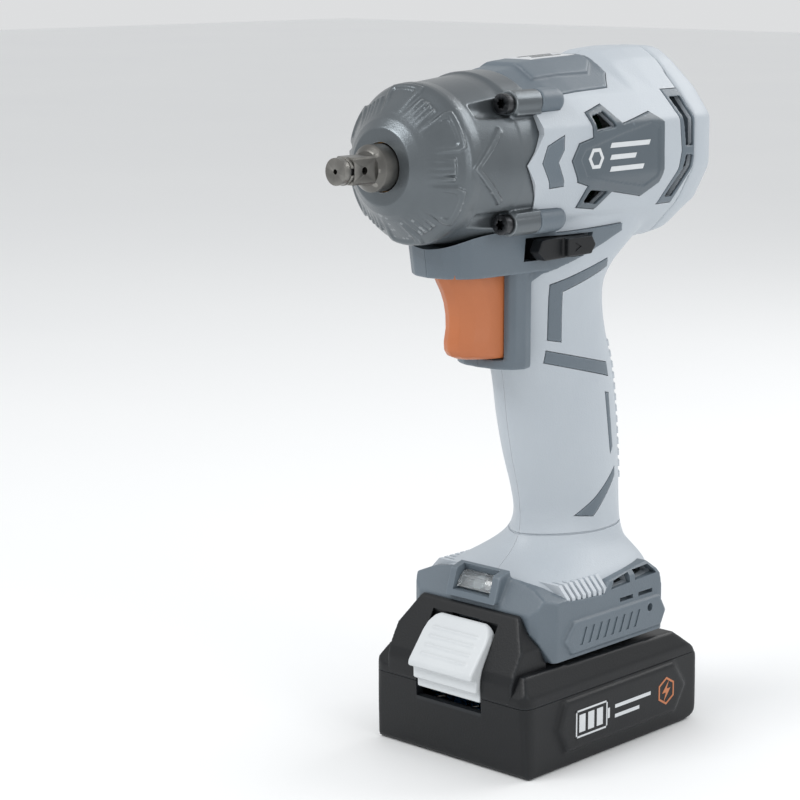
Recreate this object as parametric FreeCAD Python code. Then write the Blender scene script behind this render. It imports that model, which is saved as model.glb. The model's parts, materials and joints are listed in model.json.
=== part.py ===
import FreeCAD, Part
import math
import os

# Cordless impact wrench, millimetres. X is across the tool, the nose points to -Y, Z is up.
# The origin is on the battery's underside, on the plane between the two housing halves.

Vector = FreeCAD.Vector
os.makedirs("parts", exist_ok=True)

# ---- driving dimensions ----
axis_z = 224.0            # output axis above the battery's underside
nose_y = -87.0            # front face of the hammer case
anvil_tip_y = -109.5
square_side = 9.525       # 3/8 inch square drive
case_radius = 30.5        # hammer case at its rear edge
case_rear_y = -34.0
housing_rear_y = 50.0     # joint between the housing and the rear cap
cap_rear_y = 65.0
wall = 2.6                # moulded wall thickness
slip = 0.3                # gap between pieces that slide past each other
battery_half_width = 38.0
battery_front_y = -50.0
battery_top_z = 38.0      # top of the wings, below the deck
foot_bottom_z = 39.2
grip_half_width = 17.8

# gear train: module, sun, planet and ring teeth
gear_module = 0.75
sun_teeth = 12
planet_teeth = 21
ring_teeth = 54
planet_count = 3
orbit = gear_module * (sun_teeth + planet_teeth) / 2
gear_front_y = -17.5
gear_rear_y = -10.5

# main stations along the axis, front to rear
bush_front_y = -85.0
bush_rear_y = -66.5
wing_front_y = -65.0
wing_rear_y = -57.5
hammer_front_y = -56.8
hammer_rear_y = -34.0
hammer_radius = 23.0
carrier_front_y = -22.0
carrier_rear_y = -7.0
gear_case_rear_y = 7.5
stator_front_y = 14.0
stator_rear_y = 34.0
stator_radius = 24.0
rear_bearing_y = 53.0
shank_radius = 8.3
shaft_radius = 7.5
rotor_shaft_radius = 2.5
oval_points = 16


# ---- shape helpers ----
def face_of(corners):
    return Part.Face(Part.makePolygon(corners + [corners[0]]))


def prism_x(outline, x_low, x_high):
    # outline corners are (y, z)
    corners = [Vector(x_low, y, z) for y, z in outline]
    return face_of(corners).extrude(Vector(x_high - x_low, 0, 0))


def prism_y(outline, y_low, y_high):
    # outline corners are (x, z)
    corners = [Vector(x, y_low, z) for x, z in outline]
    return face_of(corners).extrude(Vector(0, y_high - y_low, 0))


def prism_z(outline, z_low, z_high):
    # outline corners are (x, y)
    corners = [Vector(x, y, z_low) for x, y in outline]
    return face_of(corners).extrude(Vector(0, 0, z_high - z_low))


def block(x_low, x_high, y_low, y_high, z_low, z_high):
    size = (x_high - x_low, y_high - y_low, z_high - z_low)
    return Part.makeBox(*size, Vector(x_low, y_low, z_low))


def rod_y(radius, y_low, y_high, x=0.0, z=axis_z):
    return Part.makeCylinder(radius, y_high - y_low, Vector(x, y_low, z), Vector(0, 1, 0))


def ring_y(outer, inner, y_low, y_high, x=0.0, z=axis_z):
    return rod_y(outer, y_low, y_high, x, z).cut(rod_y(inner, y_low - 1, y_high + 1, x, z))


def rod_x(radius, x_low, x_high, y, z):
    return Part.makeCylinder(radius, x_high - x_low, Vector(x_low, y, z), Vector(1, 0, 0))


def rod_z(radius, z_low, z_high, x, y):
    return Part.makeCylinder(radius, z_high - z_low, Vector(x, y, z_low), Vector(0, 0, 1))


def turned(profile):
    # profile corners are (y, radius), turned about the output axis
    corners = [Vector(0, y, axis_z + radius) for y, radius in profile]
    return face_of(corners).revolve(Vector(0, 0, axis_z), Vector(0, 1, 0), 360)


def about_axis(shape, degrees):
    copy = shape.copy()
    copy.rotate(Vector(0, 0, axis_z), Vector(0, 1, 0), degrees)
    return copy


def around_axis(shape, count, start=0.0):
    return [about_axis(shape, start + 360.0 * step / count) for step in range(count)]


def joined(shapes):
    return shapes[0].fuse(list(shapes[1:])) if len(shapes) > 1 else shapes[0]


def without(shape, tools):
    for tool in tools:
        shape = shape.cut(tool)
    return shape


def mirrored(shape):
    return shape.mirror(Vector(0, 0, 0), Vector(1, 0, 0))


def both_sides(shape):
    return [shape, mirrored(shape)]


def coil(radius, wire_radius, turns, start, length, direction):
    # closed-end coil spring standing on start and running along direction
    pitch = (length - 2 * wire_radius) / turns
    path = Part.makeHelix(pitch, pitch * turns, radius)
    section = Part.Wire(Part.Circle(Vector(radius, 0, 0), Vector(0, 1, 0), wire_radius).toShape())
    spring = Part.Wire(path).makePipeShell([section], True, True)
    turn = FreeCAD.Rotation(Vector(0, 0, 1), direction)
    spring.Placement = FreeCAD.Placement(start + direction * wire_radius, turn)
    return spring


def save(name, shape):
    solids = shape if isinstance(shape, list) else shape.Solids
    shape = Part.makeCompound(solids) if len(solids) > 1 else solids[0]
    shape.exportStep("parts/" + name + ".step")
    print(name, len(solids), round(shape.Volume), shape.isValid())


# ---- outer forms of the housing ----
def oval_wire(z, y_front, y_rear, half_width, squareness, inset):
    centre = (y_front + y_rear) / 2
    half_depth = (y_rear - y_front) / 2 - inset
    points = []
    for step in range(oval_points):
        angle = 2 * math.pi * (step + 0.5) / oval_points
        across = math.copysign(abs(math.cos(angle)) ** (2 / squareness), math.cos(angle))
        along = math.copysign(abs(math.sin(angle)) ** (2 / squareness), math.sin(angle))
        points.append(Vector((half_width - inset) * across, centre + half_depth * along, z))
    curve = Part.BSplineCurve()
    curve.interpolate(Points=points, PeriodicFlag=True)
    return Part.Wire(curve.toShape())


def handle_form(inset=0.0, z_low=63.0, z_high=203.0):
    # height, front y, rear y, half width, squareness
    stations = [
        (203.0, -33.0, 40.0, 22.5, 2.6),
        (186.0, -28.5, 34.5, 20.5, 2.5),
        (176.0, -28.0, 28.2, 18.6, 2.4),
        (163.0, -28.0, 28.4, grip_half_width, 2.4),
        (145.0, -24.8, 33.6, grip_half_width, 2.4),
        (125.0, -22.6, 37.3, grip_half_width, 2.4),
        (105.0, -17.0, 39.0, grip_half_width, 2.4),
        (88.0, -12.4, 39.4, 18.0, 2.4),
        (79.0, -13.2, 39.4, 18.8, 2.4),
        (71.0, -18.5, 38.0, 23.5, 2.8),
        (63.0, -27.0, 33.5, 30.0, 4.0),
    ]
    stations = [s for s in stations if z_low <= s[0] <= z_high]
    wires = [oval_wire(*station, inset) for station in stations]
    return Part.makeLoft(wires, True, False)


def barrel_outline(inset, spread, top_z, bottom_z):
    # eight facets on each side of the centre plane, corners (x, z)
    reach = 33.0 * spread - inset
    right = [
        (6.8, top_z - 0.3 - inset),
        (13.6 * spread, top_z - 4.6 - inset),
        (24.6 * spread - inset * 0.7, 245.8 - inset * 0.7),
        (reach, 235.6 - inset * 0.3),
        (reach, 217.0 + inset * 0.3),
        (25.5 * spread - inset * 0.7, 203.8 + inset * 0.7),
        (14.0 * spread, bottom_z + 3.0 + inset),
        (6.0, bottom_z + inset),
    ]
    return right + [(-x, z) for x, z in reversed(right)]


def barrel_form(inset=0.0, y_front=case_rear_y, y_rear=housing_rear_y):
    # y, spread, top, bottom
    stations = [
        (y_front, 0.95, 254.6, 193.0),
        (-10.0, 1.0, 257.6, 189.5),
        (24.0, 1.02, 261.0, 188.0),
        (y_rear, 1.0, 261.8, 188.5),
    ]
    wires = []
    for y, spread, top_z, bottom_z in stations:
        corners = [Vector(x, y, z) for x, z in barrel_outline(inset, spread, top_z, bottom_z)]
        wires.append(Part.makePolygon(corners + [corners[0]]))
    return Part.makeLoft(wires, True, True)


def cap_form(inset=0.0):
    end_y = cap_rear_y - inset
    stations = [
        (housing_rear_y, 1.0, 261.8, 188.5),
        (57.0, 0.985, 261.5, 189.0),
        (end_y, 0.87, 258.0, 193.0),
    ]
    wires = []
    for y, spread, top_z, bottom_z in stations:
        corners = [Vector(x, y, z) for x, z in barrel_outline(inset, spread, top_z, bottom_z)]
        wires.append(Part.makePolygon(corners + [corners[0]]))
    return Part.makeLoft(wires, True, True)


kept_forms = {}


def kept(form, inset):
    # the offset forms are used many times over, so each is lofted once
    key = (form.__name__, inset)
    if key not in kept_forms:
        kept_forms[key] = form(inset)
    return kept_forms[key]


boss_x = 24.0
boss_rise = 21.2
boss_radius = 4.5
boss_length = 14.0
bolt_radius = 2.0
boss_places = [(x, axis_z + rise) for x in (-boss_x, boss_x) for rise in (-boss_rise, boss_rise)]


# ---- hammer case, nose bush and bolts ----
def seam_tongue(grow):
    # the housing's side joint with the case runs forward to a point on the centre line
    rear = case_rear_y + 0.5
    outline = [(rear, 243.0 + grow), (-36.5, 241.0 + grow), (-45.1 - grow, 223.7)]
    outline += [(-36.5, 206.5 - grow), (rear, 204.5 - grow)]
    return joined(both_sides(prism_x(outline, 20.0, 36.0)))


def hammer_case():
    shell = turned([
        (nose_y, 8.8), (nose_y, 13.8), (-84.5, 17.0), (-75.0, 26.3), (-73.0, 28.0), (-70.5, 28.6),
        (-66.0, 28.5), (-52.0, 29.8), (case_rear_y, case_radius), (case_rear_y, 27.4),
        (-52.0, 26.0), (bush_rear_y, 25.4), (-73.0, 24.0), (-79.0, 16.0), (-79.0, 14.5),
        (bush_rear_y, 14.5), (bush_rear_y, 11.5), (bush_front_y, 11.5), (bush_front_y, 8.8),
    ])
    front_y = case_rear_y - boss_length
    for x, z in boss_places:
        shell = shell.fuse(rod_y(boss_radius, front_y, case_rear_y, x, z))
    hollow = turned([(bush_rear_y, 0.0), (bush_rear_y, 25.4), (-52.0, 26.0), (case_rear_y + 1, 27.4),
                     (case_rear_y + 1, 0.0)])
    shell = shell.cut(hollow)
    for x, z in boss_places:
        shell = shell.cut(rod_y(bolt_radius + 0.1, front_y - 1, case_rear_y + 1, x, z))
        shell = shell.cut(rod_y(3.8, front_y - 12.0, front_y, x, z))
    skin = ring_y(40.0, 29.0, -60.0, case_rear_y + 1)
    shell = shell.cut(seam_tongue(0.15).common(skin))
    ribs = []
    for step in range(-1, 2):
        rib = block(17.0, 27.4, -80.0, -74.0, axis_z + step * 2.6 - 0.6, axis_z + step * 2.6 + 0.6)
        ribs += around_axis(rib, 6)
    cone = turned([(-84.0, 10.0), (-84.0, 18.1), (-74.5, 27.4), (-73.0, 27.4), (-73.0, 10.0)])
    return joined([shell] + [rib.common(cone).cut(rod_y(25.0, -74.6, -60.0)) for rib in ribs])


def case_bush():
    return ring_y(11.5, shank_radius + 0.05, bush_front_y, bush_rear_y)


def case_bolts():
    bolts = []
    seat_y = case_rear_y - boss_length
    for x, z in boss_places:
        bolt = rod_y(3.6, seat_y - 3.6, seat_y, x, z).fuse(rod_y(bolt_radius, seat_y - 1, -20.0, x, z))
        socket = [rod_y(0.55, seat_y - 4, seat_y - 1.6, x + 1.3 * math.cos(turn), z + 1.3 * math.sin(turn))
                  for turn in [math.radians(60 * step) for step in range(6)]]
        bolts.append(without(bolt, [rod_y(1.4, seat_y - 4, seat_y - 1.6, x, z)] + socket))
    return bolts


# ---- impact mechanism ----
def anvil():
    half = square_side / 2
    tip = rod_y(4.75, anvil_tip_y, -106.6)
    neck = rod_y(3.7, -107.0, -104.6)
    square = block(-half, half, -105.0, -92.0, axis_z - half, axis_z + half)
    square = square.common(turned([(-105.0, 0.0), (-105.0, 5.6), (-104.2, 6.25), (-92.0, 6.25), (-92.0, 0.0)]))
    shank = turned([(-94.6, 0.0), (-94.6, 6.1), (-92.6, shank_radius), (wing_front_y, shank_radius),
                    (wing_front_y, 0.0)])
    wing_bar = block(-30.0, 30.0, wing_front_y, wing_rear_y, axis_z - 5.0, axis_z + 5.0)
    wings = wing_bar.common(rod_y(22.0, wing_front_y, wing_rear_y))
    hub = rod_y(10.5, wing_front_y, wing_rear_y)
    body = joined([tip, neck, square, shank, wings, hub])
    centre_hole = rod_y(0.9, anvil_tip_y - 1, anvil_tip_y + 3)
    cross_hole = rod_x(1.3, -10.0, 10.0, -100.0, axis_z)
    pilot = rod_y(4.0, -67.0, wing_rear_y + 1)
    return without(body, [centre_hole, cross_hole, pilot])


def friction_ring():
    ring = ring_y(4.95, 4.0, -106.5, -105.1)
    return ring.cut(block(2.0, 8.0, -108.0, -104.0, axis_z - 1.2, axis_z + 1.2))


def ring_o_ring():
    return ring_y(4.0, 3.7, -106.3, -105.3)


ball_y = -47.0
ball_radius = 2.4


def cam_ball_places():
    return [Vector(0, ball_y, axis_z + side * shaft_radius) for side in (-1, 1)]


def cam_balls():
    return [Part.makeSphere(ball_radius, place) for place in cam_ball_places()]


def hammer():
    body = turned([
        (hammer_front_y, 7.7), (hammer_front_y, hammer_radius - 1), (hammer_front_y + 1, hammer_radius),
        (hammer_rear_y - 1, hammer_radius), (hammer_rear_y, hammer_radius - 1), (hammer_rear_y, 18.0),
        (-48.0, 18.0), (-48.0, 10.5), (-36.0, 10.5), (-36.0, 7.7),
    ])
    sector = [(0.0, 0.0)]
    sector += [(40.0 * math.cos(math.radians(a)), 40.0 * math.sin(math.radians(a))) for a in (28, 50, 70)]
    wedge = prism_y([(x, axis_z + z) for x, z in sector], wing_front_y + 0.5, hammer_front_y + 0.5)
    dog = wedge.common(ring_y(22.3, 12.0, wing_front_y, hammer_front_y + 1))
    body = joined([body] + around_axis(dog, 2))
    grooves = [rod_y(ball_radius + 0.15, hammer_front_y - 1, ball_y + 3, place.x, place.z)
               for place in cam_ball_places()]
    return without(body, grooves)


def spring_washer():
    return ring_y(17.6, 10.9, -48.0, -46.8)


def hammer_spring():
    length = carrier_front_y + 46.8 - 0.2
    return coil(14.0, 1.5, 5, Vector(0, -46.7, axis_z), length, Vector(0, 1, 0))


def orbit_place(index, radius=orbit):
    angle = 2 * math.pi * index / planet_count
    return radius * math.cos(angle), axis_z + radius * math.sin(angle)


def spindle():
    body = turned([
        (-64.5, 0.0), (-64.5, 3.2), (-63.8, 3.9), (-57.0, 3.9), (-57.0, shaft_radius - 0.6),
        (-56.4, shaft_radius), (carrier_front_y, shaft_radius), (carrier_front_y, 18.5),
        (-18.5, 18.5), (-18.5, 5.9), (-9.5, 5.9), (-9.5, 18.5), (carrier_rear_y, 18.5),
        (carrier_rear_y, 7.95), (-1.8, 7.95), (-1.8, 0.0),
    ])
    posts = []
    for index in range(planet_count):
        x, z = orbit_place(index + 0.5, 14.5)
        posts.append(rod_y(2.4, -18.6, -9.4, x, z))
    body = joined([body] + posts)
    body = body.cut(rod_y(6.0, -19.5, 0.0))
    for index in range(planet_count):
        x, z = orbit_place(index)
        body = body.cut(rod_y(2.0, carrier_front_y - 1, carrier_rear_y + 1, x, z))
    for place in cam_ball_places():
        groove = Part.makeSphere(ball_radius + 0.05, place)
        for lean in (-1, 1):
            groove = groove.fuse(Part.makeCylinder(ball_radius, 7.0, place, Vector(lean * 0.6, 0.8, 0)))
        body = body.cut(groove)
    return body


def planet_pins():
    pins = []
    for index in range(planet_count):
        x, z = orbit_place(index)
        pins.append(rod_y(2.0, carrier_front_y, carrier_rear_y, x, z))
    return pins


# ---- gears ----
def flank(base_radius, radius):
    # involute angle swept from the base circle out to a radius
    if radius <= base_radius:
        return 0.0
    spread = math.sqrt((radius / base_radius) ** 2 - 1)
    return spread - math.atan(spread)


def gear_outline(teeth, tip, root, backlash, steps=4):
    # tooth space profile of an involute gear, one tooth centred on angle 0, corners (x, z)
    pitch_radius = gear_module * teeth / 2
    base_radius = pitch_radius * math.cos(math.radians(20))
    half_tooth = math.pi / (2 * teeth) - backlash / pitch_radius + flank(base_radius, pitch_radius)
    low = max(base_radius, root)
    radii = [root] if root < low else []
    radii += [low + (tip - low) * step / steps for step in range(steps + 1)]
    corners = []
    for tooth in range(teeth):
        centre = 2 * math.pi * tooth / teeth
        rise = [(r, centre - half_tooth + flank(base_radius, r)) for r in radii]
        fall = [(r, centre + half_tooth - flank(base_radius, r)) for r in reversed(radii)]
        corners += rise + fall
    return [(r * math.cos(a), r * math.sin(a)) for r, a in corners]


backlash = 0.05
sun_tip = gear_module * (sun_teeth / 2 + 0.8)
sun_root = gear_module * (sun_teeth / 2 - 1.1)
planet_tip = gear_module * (planet_teeth / 2 + 0.8)
planet_root = gear_module * (planet_teeth / 2 - 1.1)
ring_tip = gear_module * (ring_teeth / 2 - 0.8)
ring_root = gear_module * (ring_teeth / 2 + 1.1)


def sun_gear():
    outline = gear_outline(sun_teeth, sun_tip, sun_root, backlash)
    return prism_y([(x, axis_z + z) for x, z in outline], gear_front_y, gear_rear_y)


def planet_gear(index):
    # each planet points a tooth away from the sun, so all three are in mesh
    x, z = orbit_place(index)
    turn = 2 * math.pi * index / planet_count
    outline = [(x + a * math.cos(turn) - b * math.sin(turn), z + a * math.sin(turn) + b * math.cos(turn))
               for a, b in gear_outline(planet_teeth, planet_tip, planet_root, backlash)]
    gear = prism_y(outline, gear_front_y, gear_rear_y)
    return gear.cut(rod_y(2.05, gear_front_y - 1, gear_rear_y + 1, x, z))


def ring_gear():
    space = gear_outline(ring_teeth, ring_root, ring_tip, -backlash)
    cutter = prism_y([(x, axis_z + z) for x, z in space], gear_front_y - 2, gear_rear_y + 2)
    return rod_y(24.0, gear_front_y - 0.5, gear_rear_y + 0.5).cut(cutter)


def gear_case():
    return turned([
        (case_rear_y, 24.0), (case_rear_y, 26.9), (-3.0, 26.9), (-1.0, 25.0), (-1.0, 11.0),
        (gear_case_rear_y, 11.0), (gear_case_rear_y, 5.0), (6.5, 5.0), (6.5, 8.0), (1.5, 8.0),
        (1.5, 6.5), (-1.5, 6.5), (-1.5, 13.0), (-6.2, 13.0), (-6.2, 24.0),
    ])


def ball_bearing(outer, inner, y_low, y_high, balls=7):
    middle = (outer + inner) / 2
    land = (outer - inner) * 0.28
    centre_y = (y_low + y_high) / 2
    ball = Part.makeSphere(land * 0.78, Vector(middle, centre_y, axis_z))
    race = Part.makeTorus(middle, land * 0.82, Vector(0, centre_y, axis_z), Vector(0, 1, 0))
    outer_ring = ring_y(outer, outer - land, y_low, y_high).cut(race)
    inner_ring = ring_y(inner + land, inner, y_low, y_high).cut(race)
    return [outer_ring, inner_ring] + around_axis(ball, balls)


# ---- motor ----
def rotor_shaft():
    rear = rod_y(rotor_shaft_radius, gear_rear_y - 0.1, 59.0)
    return joined([sun_gear(), rear])


def magnet_slot(gap):
    return block(-5.0 - gap, 5.0 + gap, 14.0 - gap, 34.0 + gap, axis_z + 8.0 - gap, axis_z + 10.2 + gap)


def rotor_core():
    core = ring_y(11.9, rotor_shaft_radius, 14.0, 34.0)
    return without(core, around_axis(magnet_slot(0.0), 4))


def magnets():
    return around_axis(magnet_slot(0.0), 4)


def fan():
    plate = ring_y(20.5, rotor_shaft_radius, 41.0, 42.2)
    hub = ring_y(6.0, rotor_shaft_radius, 40.0, 49.0)
    blade = block(-0.6, 0.6, 42.0, 48.6, axis_z + 5.0, axis_z + 20.3)
    blade.rotate(Vector(0, 0, axis_z + 12), Vector(0, 1, 0), 18)
    return joined([plate, hub] + around_axis(blade, 11)).cut(rod_y(rotor_shaft_radius, 30, 60))


stator_teeth = 6


def stator_core():
    yoke = ring_y(stator_radius, 20.6, stator_front_y, stator_rear_y)
    tooth = block(-2.2, 2.2, stator_front_y, stator_rear_y, axis_z + 12.4, axis_z + 21.0)
    shoe = block(-5.4, 5.4, stator_front_y, stator_rear_y, axis_z + 11.0, axis_z + 14.2)
    shoe = shoe.common(ring_y(14.2, 12.4, stator_front_y, stator_rear_y))
    parts = [tooth.fuse(shoe).cut(rod_y(12.4, 0, 50))]
    teeth = [turned_part for part in parts for turned_part in around_axis(part, stator_teeth)]
    return joined([yoke] + teeth)


def stator_insulators():
    frames = []
    for y_low, y_high in ((stator_front_y - 1.4, stator_front_y), (stator_rear_y, stator_rear_y + 1.4)):
        rim = ring_y(23.4, 20.6, y_low, y_high)
        tooth = block(-2.2, 2.2, y_low, y_high, axis_z + 12.8, axis_z + 21.0)
        frames.append(joined([rim] + around_axis(tooth, stator_teeth)))
    return frames


def stator_coils():
    inner_half = 2.3
    outer_half = 5.0
    loop = block(-outer_half, outer_half, stator_front_y - 3.6, stator_rear_y + 3.6,
                 axis_z + 14.6, axis_z + 19.8)
    eye = block(-inner_half, inner_half, stator_front_y - 1.5, stator_rear_y + 1.5,
                axis_z + 14.0, axis_z + 20.5)
    loop = loop.cut(eye)
    return around_axis(loop, stator_teeth)


def hall_board():
    return ring_y(22.5, 13.2, 8.2, 9.6)


# ---- rear cap ----
cap_screw_places = [(-13.0, 250.5), (13.0, 250.5), (-12.0, 197.5), (12.0, 197.5)]


def rear_cap():
    shell = cap_form().cut(cap_form(wall))
    inner = cap_form(wall)
    posts = [rod_y(4.0, housing_rear_y, cap_rear_y - wall, x, z).common(cap_form()) for x, z in cap_screw_places]
    bearing_seat = ring_y(10.6, 8.0, rear_bearing_y, cap_rear_y - wall)
    web = block(-1.0, 1.0, rear_bearing_y, cap_rear_y - wall, 190, 260).common(inner)
    web = web.cut(rod_y(10.0, 40, 70))
    shell = joined([shell, bearing_seat, web] + posts)
    shell = without(shell, [rod_y(1.6, 40, 70, x, z) for x, z in cap_screw_places])
    return without(shell, [rod_y(3.2, cap_rear_y - 5.0, 70, x, z) for x, z in cap_screw_places])


def rear_cap_screws():
    screws = []
    for x, z in cap_screw_places:
        head = rod_y(2.9, cap_rear_y - 5.0, cap_rear_y - 2.8, x, z)
        recess = block(x - 1.6, x + 1.6, cap_rear_y - 3.8, cap_rear_y, z - 0.4, z + 0.4)
        recess = recess.fuse(block(x - 0.4, x + 0.4, cap_rear_y - 3.8, cap_rear_y, z - 1.6, z + 1.6))
        screws.append(head.fuse(rod_y(1.6, 43.0, cap_rear_y - 4.9, x, z)).cut(recess))
    return screws


# ---- housing, its inlays and its covers ----
skin_depth = 1.1


def skin_of(form, proud, cutter):
    # the part of a cutter that lies in the form's skin, standing proud of it
    return cutter.common(kept(form, -proud)).cut(kept(form, skin_depth))


plate_outline = [
    (-22.3, 223.9), (-18.6, 229.8), (-11.3, 231.5), (-11.8, 240.3), (-0.9, 242.8), (5.3, 235.7),
    (23.5, 239.1), (29.9, 235.3), (30.5, 212.5), (22.6, 207.8), (3.8, 211.0), (-2.1, 204.7),
    (-13.2, 206.1), (-11.9, 214.2), (-18.6, 216.0),
]
plate_window_high = [(-9.6, 233.6), (-9.8, 238.9), (-2.2, 240.4), (1.6, 234.8)]
plate_window_low = [(-10.8, 208.0), (-9.8, 212.4), (1.2, 211.2), (-3.0, 206.8)]
chevron_outline = [(-34.0, 231.0), (-27.0, 233.0), (-26.5, 228.6), (-30.6, 223.8), (-26.0, 215.6),
                   (-32.0, 215.2), (-37.0, 223.9)]
grip_stripes = [
    [(15.1, 184.4), (17.5, 181.0), (-8.6, 173.9), (-7.4, 154.8), (-13.4, 156.0), (-14.8, 177.0)],
    [(-13.5, 151.9), (20.8, 143.5), (22.2, 138.1), (-13.7, 147.3)],
    [(19.4, 132.2), (22.3, 131.4), (25.3, 110.0), (23.4, 107.7)],
    [(26.9, 101.9), (26.9, 98.5), (11.8, 85.2), (4.2, 86.1)],
]
collar_outline = [
    (-40.0, 197.0), (-34.0, 203.5), (-18.0, 202.5), (-17.5, 196.8), (18.5, 197.6), (18.8, 194.6), (0.5, 187.8),
    (-16.0, 182.2), (-18.6, 178.0), (-18.6, 156.0), (-22.0, 149.4), (-40.0, 149.0),
]
rear_vents = [
    [(41.0, 243.4), (48.2, 243.4), (48.8, 225.2), (44.2, 225.2)],
    [(44.4, 221.8), (48.7, 221.8), (44.2, 206.0), (39.2, 206.0)],
]
trigger_opening = (10.3, -60.0, -9.0, 150.6, 184.4)
lever_opening = (-31.6, 0.6, 187.2, 195.9)


def top_insert_form():
    outline = [(-23.0, case_rear_y), (23.0, case_rear_y), (23.0, -20.0), (22.0, 10.0), (16.0, 16.5),
               (-16.0, 16.5), (-22.0, 10.0), (-23.0, -20.0)]
    return prism_z(outline, 246.5, 270.0)


def top_insert():
    skin = skin_of(barrel_form, 0.5, top_insert_form())
    bosses = [rod_y(boss_radius, case_rear_y, -21.0, x, axis_z + boss_rise) for x in (-boss_x, boss_x)]
    bosses = [boss.cut(kept(barrel_form, skin_depth)) for boss in bosses]
    cover = joined([skin] + bosses)
    holes = [rod_y(bolt_radius + 0.1, -60, -19, x, z) for x, z in boss_places]
    return without(cover, holes)


def top_label():
    plate = block(-6.5, 6.5, -15.0, 11.0, 250.0, 270.0)
    return plate.common(barrel_form(-0.75)).cut(kept(barrel_form, -0.5))


def side_plate():
    plate = skin_of(barrel_form, 0.6, prism_x(plate_outline, 15.0, 45.0))
    badge = prism_x([(-17.0, 224.0), (-14.0, 228.0), (22.0, 235.5), (26.5, 233.0), (26.5, 215.0),
                     (21.0, 212.0), (-13.0, 217.0)], 33.2, 45.0)
    windows = [prism_x(plate_window_high, 10.0, 45.0), prism_x(plate_window_low, 10.0, 45.0)]
    return without(plate, [badge] + windows)


def grip_inlays():
    pieces = [skin_of(handle_form, 0.25, prism_x(stripe, 5.0, 40.0)) for stripe in grip_stripes]
    chevron = skin_of(barrel_form, 0.25, prism_x(chevron_outline, 15.0, 45.0))
    return [solid for piece in pieces + [chevron] for solid in piece.Solids]


def collar_pad():
    front = [(-16.5, -30.0), (-16.5, -52.0), (-13.0, -60.0), (-7.0, -64.5), (0.0, -65.6)]
    outline = front + [(-x, y) for x, y in reversed(front[:-1])]
    pad = prism_z(outline, 182.6, 200.0)
    return pad.cut(rod_y(case_radius + 0.2, -80.0, -20.0))


def collar_lip():
    # short shelf under the rear of the trigger
    return prism_x([(-42.0, 147.6), (-24.0, 147.0), (-22.0, 150.4), (-38.0, 150.4)], -11.0, 11.0)


def lower_bosses():
    return [rod_y(boss_radius, case_rear_y, -18.0, x, axis_z - boss_rise) for x in (-boss_x, boss_x)]


def collar():
    side = prism_x(collar_outline, -60.0, 60.0)
    mechanism_room = rod_y(case_radius + 0.2, -80.0, case_rear_y + 0.2)
    skin = skin_of(handle_form, 1.3, side).cut(kept(barrel_form, 0.0)).cut(mechanism_room)
    bosses = [boss.cut(kept(barrel_form, skin_depth)) for boss in lower_bosses()]
    cover = joined([skin, collar_pad(), collar_lip()] + bosses)
    half, y_low, y_high, z_low, z_high = trigger_opening
    cover = cover.cut(block(-half, half, y_low, y_high, z_low, z_high))
    y_low, y_high, z_low, z_high = lever_opening
    cover = cover.cut(block(-40, 40, y_low, y_high, z_low, z_high))
    return without(cover, [rod_y(bolt_radius + 0.1, -60, -16, x, z) for x, z in boss_places])


def foot_body():
    outline = [(-31.0, -27.0), (-27.0, -31.0), (27.0, -31.0), (31.0, -27.0), (31.0, 30.0), (27.0, 33.0),
               (-27.0, 33.0), (-31.0, 30.0)]
    return prism_z(outline, foot_bottom_z, 63.4)


def slope_front():
    # everything in front of and above the foot's sloping front
    return prism_x([(-38.0, 57.8), (-30.0, 69.2), (-14.0, 74.0), (-14.0, 90.0), (-60.0, 90.0), (-60.0, 57.8)],
                   -45.0, 45.0)


deck_room = (27.2, -40.0, 34.0)       # half width, front and rear of the room for the battery deck
neck_room = 22.0
rail_top_z = 44.0
deck_ceiling_z = 51.4


def foot_rooms():
    half, y_low, y_high = deck_room
    head = block(-half, half, y_low, y_high, rail_top_z, deck_ceiling_z)
    neck = block(-neck_room, neck_room, y_low, y_high, 30.0, rail_top_z + 1)
    board_room = block(-27.5, 27.5, -25.0, 29.0, 54.0, 61.6)
    lead_room = block(-9.0, 9.0, 0.0, 24.0, 50.0, 70.0)
    return [head, neck, board_room, lead_room]


screw_places = [(12.0, 193.2), (38.0, 200.5), (40.0, 252.0), (20.5, 170.0), (-9.0, 139.0), (24.0, 124.0),
                (5.0, 98.0), (24.0, 86.0)]


def housing_whole():
    outer = joined([kept(barrel_form, 0.0), kept(handle_form, 0.0), foot_body()])
    tongue = seam_tongue(0.0).common(ring_y(31.2, 29.2, -50.0, case_rear_y + 2))
    outer = outer.fuse(tongue)
    barrel_room = kept(barrel_form, wall).fuse(rod_y(27.2, case_rear_y - 1, 8.0))
    rooms = [barrel_room, kept(handle_form, wall)] + foot_rooms()
    outer = without(outer, rooms)
    rib_field = kept(barrel_form, wall / 2)
    ribs = []
    for y_low in (15.0, 31.0):
        rib = block(-50, 50, y_low, y_low + 2.0, 150, 300).common(rib_field)
        ribs.append(rib.cut(rod_y(stator_radius + 0.02, -50, 60)))
    screw_posts = [rod_x(3.6, -26.0, 26.0, y, z) for y, z in screw_places]
    post_field = kept(barrel_form, wall / 2).fuse(kept(handle_form, wall / 2))
    posts = [post.common(post_field).cut(rod_y(27.2, -60, 60)) for post in screw_posts]
    for x, z in cap_screw_places:
        posts.append(rod_y(3.8, 36.0, housing_rear_y, x, z).common(kept(barrel_form, wall / 2)))
    outer = joined([outer] + ribs + posts)
    return outer.cut(rod_y(22.0, 37.0, 60.0))


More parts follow.
